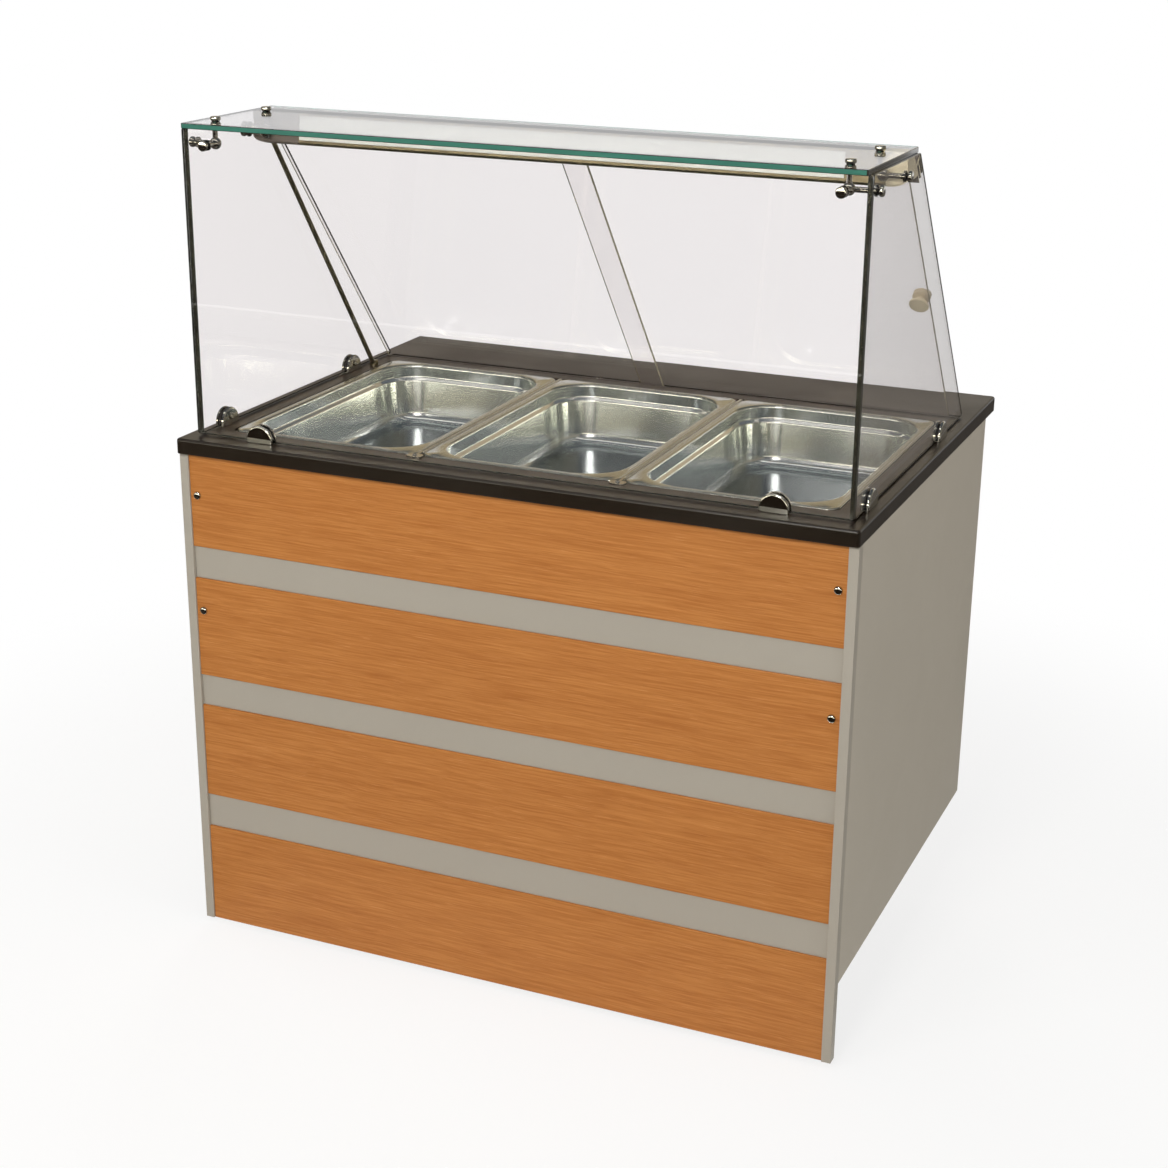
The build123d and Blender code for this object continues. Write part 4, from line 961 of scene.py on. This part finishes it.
def merged(tree, shape, distance):
    """A shape with the points that lie within a distance made one."""
    return result_of(tree, "GeometryNodeMergeByDistance", {"Geometry": shape, "Distance": distance})


def moved(tree, shape, by):
    """A shape moved by a vector."""
    return result_of(tree, "GeometryNodeTransform", {"Geometry": shape, "Translation": by})


# %% Tree of a drawn pan
def make_pan_tree():
    """A pan from its sizes: rim, mouth, shoulder, leaning walls and floor, in one sheet."""
    outer = ["Width", "Length", "Depth", "Rim", "Rim corner", "Rim skirt", "Roll", "Margin"]
    inner = ["Mouth corner", "Mouth round", "Shoulder drop", "Shoulder step", "Draft", "Bottom round"]
    tree, given, end = new_shape("drawn_pan", outer + inner, Place=PLACE)
    width, length, depth, rim, rim_corner, rim_skirt, roll, margin = (given[label] for label in outer)
    mouth_corner, mouth_round, drop, step, draft, bottom_round = (given[label] for label in inner)

    plus, less, times = (partial(maths, tree, kind) for kind in ("ADD", "SUBTRACT", "MULTIPLY"))

    def grown(sides, by):
        """A rounded rectangle, moved outwards by a distance."""
        wide, long, corner = sides
        return outline(tree, plus(wide, times(by, 2.0)), plus(long, times(by, 2.0)), plus(corner, by))

    edge = (width, length, rim_corner)
    mouth = (less(width, times(rim, 2.0)), less(length, times(rim, 2.0)), mouth_corner)
    brim = plus(mouth_round, margin)
    foot = times(plus(step, draft), -1.0)
    floor_edge = less(less(foot, bottom_round), margin)
    wall_corners = [
        (floor_edge, depth, 0.0),
        (foot, depth, bottom_round),
        (times(step, -1.0), plus(drop, step), mouth_round),
        (0.0, drop, mouth_round),
        (0.0, 0.0, mouth_round),
        (brim, 0.0, 0.0),
    ]
    walls = swept(tree, outline(tree, *mouth), profile(tree, wall_corners, steps=8))

    floor_flat = result_of(tree, "GeometryNodeFillCurve", {0: grown(mouth, floor_edge)}, mode="NGONS")
    floor_low = moved(tree, floor_flat, vector(tree, Z=times(depth, -1.0)))

    roll_start = times(plus(roll, margin), -1.0)
    roll_corners = [(roll_start, 0.0, 0.0), (0.0, 0.0, roll), (0.0, rim_skirt, 0.0)]
    rolled = swept(tree, outline(tree, *edge), profile(tree, roll_corners, steps=6))
    rim_curves = joined(tree, grown(mouth, brim), grown(edge, roll_start))
    rim_flat = result_of(tree, "GeometryNodeFillCurve", {0: rim_curves}, mode="TRIANGLES")

    sheet = merged(tree, joined(tree, walls, floor_low, rim_flat, rolled), distance=0.05 * MM)
    finish_shape(tree, given, end, moved(tree, sheet, given["Place"]))
    return tree


pan_tree = make_pan_tree()
print("the tree of a pan has", len(pan_tree.nodes), "nodes")

# %% Three pans in the well
pan_sheet = 1.0 * MM
pan_sizes = {
    "Depth": 100 * MM,
    "Rim": 14.5 * MM,
    "Rim corner": 18 * MM,
    "Rim skirt": 5.5 * MM,
    "Roll": 2.5 * MM,
    "Mouth corner": 66 * MM,
    "Mouth round": 4.0 * MM,
    "Shoulder drop": 22 * MM,
    "Shoulder step": 5 * MM,
    "Draft": 8 * MM,
    "Bottom round": 20 * MM,
    "Margin": 1.5 * MM,
}
for node in ("pan_left", "pan_middle", "pan_right"):
    low, high = (Vector(corner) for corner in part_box(node))
    sizes = dict(pan_sizes, Width=high.x - low.x, Length=high.y - low.y)
    sizes["Place"] = ((low.x + high.x) / 2, (low.y + high.y) / 2, high.z)
    sheet = made_mesh(node + "_drawn", pan_tree, sizes, pan_steel)
    drawn = standing_for(node + "_drawn", sheet, node)
    wall = drawn.modifiers.new("sheet", "SOLIDIFY")
    wall.thickness = pan_sheet
    wall.offset = -1.0
    weights = drawn.modifiers.new("flat_faces", "WEIGHTED_NORMAL")
    weights.keep_sharp = True
print("each pan has", len(sheet.polygons), "faces before its sheet gets thick")

# %% [markdown]
# ## Turned fasteners
# The board screws have a dome head, the glass is held by mushroom bolts, and each clamp is closed by a
# small screw. All of these are turned on a lathe, so one recipe makes them: a half profile runs around
# a circle, and the result is placed at each seat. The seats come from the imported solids.


# %% Seats of the fasteners
def islands(node):
    """The lowest and highest corner of each separate solid of a node."""
    work = bmesh.new()
    work.from_mesh(frame["nodes"][node].data)
    bmesh.ops.remove_doubles(work, verts=work.verts, dist=MERGE_DISTANCE)
    left = set(work.verts)
    boxes = []
    while left:
        found = []
        front = [left.pop()]
        while front:
            vert = front.pop()
            found.append(vert.co)
            near = [edge.other_vert(vert) for edge in vert.link_edges]
            fresh = [other for other in near if other in left]
            left.difference_update(fresh)
            front.extend(fresh)
        low = Vector([min(place[i] for place in found) for i in range(3)])
        high = Vector([max(place[i] for place in found) for i in range(3)])
        boxes.append((low, high))
    work.free()
    return sorted(boxes, key=lambda box: tuple(round(part, 5) for part in box[0]))


def tip(box, way):
    """The middle of a box's face on the side that way points to."""
    low, high = box
    return (low + high) / 2 + way * ((high - low) / 2)


# %% Tree of a turned piece
def make_turned_tree(name, labels, corners):
    """A tree that turns a half profile around each point's facing; corners gives it from the sizes."""
    tree, given, end = new_shape(name, labels)
    radius = given["Radius"]
    around = result_of(tree, "GeometryNodeCurvePrimitiveCircle", {"Resolution": 36, "Radius": radius})
    half = []
    for out, down, rounding in corners(tree, given):
        half.append((maths(tree, "SUBTRACT", out, radius), down, rounding))
    turned = merged(tree, swept(tree, around, profile(tree, half, steps=5)), distance=0.01 * MM)
    named = {"Name": "facing"}
    facing = result_of(tree, "GeometryNodeInputNamedAttribute", named, data_type="FLOAT_VECTOR")
    turn = result_of(tree, "FunctionNodeAlignRotationToVector", {"Vector": facing}, axis="Z")
    copies = {"Points": given["Geometry"], "Instance": turned, "Rotation": turn}
    finish_shape(tree, given, end, result_of(tree, "GeometryNodeInstanceOnPoints", copies))
    return tree


def shank_corners(tree, size):
    """From under a head along its shank to the middle of the shank's end."""
    end = maths(tree, "ADD", size["Height"], size["Shank length"])
    return [(size["Shank"], size["Height"], 0.0), (size["Shank"], end, 0.0), (0.0, end, 0.0)]


def dome_corners(tree, size):
    """From the top of a dome head down to the end of its shank."""
    shoulder = maths(tree, "MULTIPLY", size["Radius"], 0.78)
    eased = maths(tree, "MULTIPLY", size["Height"], 0.18)
    brow = maths(tree, "MULTIPLY", size["Height"], 0.6)
    round_over = maths(tree, "MULTIPLY", size["Radius"], 0.7)
    return [
        (0.0, 0.0, 0.0),
        (shoulder, eased, round_over),
        (size["Radius"], brow, round_over),
        (size["Radius"], size["Height"], 0.2 * MM),
        *shank_corners(tree, size),
    ]


def mushroom_corners(tree, size):
    """From the top of a mushroom head down its neck to the end of its shank."""
    crown = maths(tree, "MULTIPLY", size["Height"], 0.06)
    under = maths(tree, "SUBTRACT", size["Height"], size["Neck height"])
    return [
        (0.0, 0.0, 0.0),
        (size["Radius"], crown, 2.2 * MM),
        (size["Radius"], under, 0.8 * MM),
        (size["Neck"], size["Height"], 0.4 * MM),
        *shank_corners(tree, size),
    ]


def socket_corners(tree, size):
    """From the floor of a key socket over the rim of a small screw and down its side."""
    inner = maths(tree, "MULTIPLY", size["Radius"], 0.45)
    depth = maths(tree, "MULTIPLY", size["Height"], 0.7)
    return [
        (0.0, depth, 0.0),
        (inner, depth, 0.0),
        (inner, 0.0, 0.2 * MM),
        (size["Radius"], 0.0, 0.6 * MM),
        (size["Radius"], size["Height"], 0.0),
        (0.0, size["Height"], 0.0),
    ]


def fasten(name, corners, sizes, seats, node):
    """Turned chrome fasteners on their seats, in place of a node's plain ones."""
    tree = make_turned_tree(name, list(sizes), corners)
    standing_for(name, made_mesh(name, tree, sizes, finishes["chrome"], seats), node)
    print(len(seats), name.replace("_", " "))


# %% Dome screws on the boards
dome_sizes = {"Radius": 6.5 * MM, "Height": 4.5 * MM, "Shank": 2.5 * MM, "Shank length": 9 * MM}
dome_seats = [(tip(box, FRONT), FRONT) for box in islands("board_screws")]
fasten("board_dome_screws", dome_corners, dome_sizes, dome_seats, "board_screws")

# %% Mushroom bolts through the glass
bolt_sizes = {
    "Radius": 8 * MM,
    "Height": 8 * MM,
    "Neck": 5.5 * MM,
    "Neck height": 3 * MM,
    "Shank": 4.5 * MM,
    "Shank length": 8 * MM,
}
seat_tolerance = 1 * MM
glass_faces = {"front_glass": FRONT, "side_glass_left": LEFT, "side_glass_right": RIGHT, "top_glass": UP}


def bolt_seat(box):
    """The top of a bolt's head and its facing: the bolt stands one head above the pane that it holds."""
    for node, way in glass_faces.items():
        face = tip([Vector(corner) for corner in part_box(node)], way).dot(way)
        top = tip(box, way)
        if abs(top.dot(way) - face - bolt_sizes["Height"]) < seat_tolerance:
            return top, way
    raise ValueError("a bolt stands on no pane")


bolt_seats = [bolt_seat(box) for box in islands("connector_bolts")]
fasten("mushroom_bolts", mushroom_corners, bolt_sizes, bolt_seats, "connector_bolts")

# %% Screws of the clamps
grub_sizes = {"Radius": 5 * MM, "Height": 2.5 * MM}


def grub_seat(box):
    """The outer end of a clamp's screw, which faces the inside of the guard along its short side."""
    low, high = box
    sides = high - low
    axis = min(range(3), key=lambda i: sides[i])
    way = Vector((0, 0, 0))
    way[axis] = -1.0 if (low + high)[axis] / 2 > counter_middle[axis] else 1.0
    return tip(box, way), way


grub_seats = [grub_seat(box) for box in islands("clamp_screws")]
fasten("clamp_socket_screws", socket_corners, grub_sizes, grub_seats, "clamp_screws")

# %% [markdown]
# ## Marks on the controls
# The thermostat's scale is printed on the control panel: a fan of short ticks and a plain number at
# every third tick. The ticks follow a rule, so Geometry Nodes set them around the spindle. The numbers,
# and the signs on the two rockers, are text that is turned into a mesh and laid on its face.


# %% Ticks around the thermostat
def make_ticks_tree():
    """Bars that stand around a middle, from the top towards +X, each on a radius."""
    labels = ["Radius", "Length", "Width", "Print", "Step"]
    tree, given, end = new_shape("dial_ticks", labels, Count=COUNT, Place=PLACE)
    turn = maths(tree, "MULTIPLY", result_of(tree, "GeometryNodeInputIndex"), given["Step"])
    across = maths(tree, "MULTIPLY", given["Radius"], maths(tree, "SINE", turn))
    upward = maths(tree, "MULTIPLY", given["Radius"], maths(tree, "COSINE", turn))
    points = result_of(tree, "GeometryNodeMeshLine", {"Count": given["Count"]})
    around = {"Geometry": points, "Position": vector(tree, X=across, Z=upward)}
    fan = result_of(tree, "GeometryNodeSetPosition", around)
    sides = vector(tree, X=given["Width"], Y=given["Print"], Z=given["Length"])
    bar = result_of(tree, "GeometryNodeMeshCube", {"Size": sides})
    copies = {"Points": fan, "Instance": bar, "Rotation": vector(tree, Y=turn)}
    bars = result_of(tree, "GeometryNodeInstanceOnPoints", copies)
    finish_shape(tree, given, end, moved(tree, bars, given["Place"]))
    return tree


ink = make_plastic("panel_print", rgb(38, 38, 40), 0.5, relief=0.0)
white_ink = make_plastic("pointer_print", rgb(222, 220, 212), 0.5, relief=0.0)
tick_count = 19
tick_step = math.radians(15)
print_thick = 0.2 * MM
dial_low, dial_high = (Vector(corner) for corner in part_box("thermostat_knob"))
dial_middle = (dial_low + dial_high) / 2
dial_middle.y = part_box("control_panel")[1][1]
tick_sizes = {
    "Radius": 29 * MM,
    "Length": 5 * MM,
    "Width": 1 * MM,
    "Print": print_thick,
    "Step": tick_step,
    "Count": tick_count,
    "Place": dial_middle,
}
tick_mesh = made_mesh("dial_ticks", make_ticks_tree(), tick_sizes, ink)
new_piece("dial_ticks", tick_mesh, "counter")
print(tick_count, "ticks around the thermostat")


# %% Numbers and signs
def lettering(name, marks, size, finish):
    """One mesh of printed marks, each a text, a place, the way up and the way out of its face."""
    work = bmesh.new()
    for body, place, up, out in marks:
        curve = bpy.data.curves.new(name, "FONT")
        curve.body = body
        curve.size = size
        curve.extrude = print_thick / 2
        curve.align_x = "CENTER"
        curve.align_y = "CENTER"
        sign = bpy.data.objects.new(name, curve)
        mesh = bpy.data.meshes.new_from_object(sign)
        turn = Matrix((up.cross(out), up, out)).transposed().to_4x4()
        mesh.transform(Matrix.Translation(place) @ turn)
        work.from_mesh(mesh)
        bpy.data.objects.remove(sign)
        bpy.data.meshes.remove(mesh)
        bpy.data.curves.remove(curve)
    bmesh.ops.remove_doubles(work, verts=work.verts, dist=MERGE_DISTANCE)
    result = bpy.data.meshes.new(name)
    work.to_mesh(result)
    work.free()
    result.materials.append(finish)
    return result


OUTWARD = 0.7
sign_size = 8 * MM
number_radius = 38 * MM
ticks_per_number = 3
numbers = []
for index in range(tick_count // ticks_per_number + 1):
    turn = index * ticks_per_number * tick_step
    place = dial_middle + number_radius * Vector((math.sin(turn), 0, math.cos(turn)))
    numbers.append((str(index), place, UP, REAR))
number_mesh = lettering("dial_numbers", numbers, sign_size, ink)
new_piece("dial_numbers", number_mesh, "counter")

pointer_size = 15 * MM
pointer_radius = 10 * MM
pointer_place = Vector((dial_middle.x, dial_high.y, dial_middle.z + pointer_radius))
pointer_mesh = lettering("dial_pointer", [("I", pointer_place, UP, REAR)], pointer_size, white_ink)
new_piece("dial_pointer", pointer_mesh, "thermostat_knob")
for node in ("main_switch_rocker", "light_switch_rocker"):
    faces = [face for face in merged_mesh(node, node + "_faces").polygons if face.normal.y > OUTWARD]
    faces = sorted(faces, key=lambda face: face.area)[-2:]
    signs = []
    for face, sign in zip(sorted(faces, key=lambda face: face.center.z), "OI"):
        out = face.normal.copy()
        signs.append((sign, face.center.copy(), RIGHT.cross(out).normalized(), out))
    sign_mesh = lettering(node + "_signs", signs, sign_size, white_ink)
    new_piece(node + "_signs", sign_mesh, frame["nodes"][node]["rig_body"])
print(len(numbers), "numbers, one pointer and the signs of two switches")
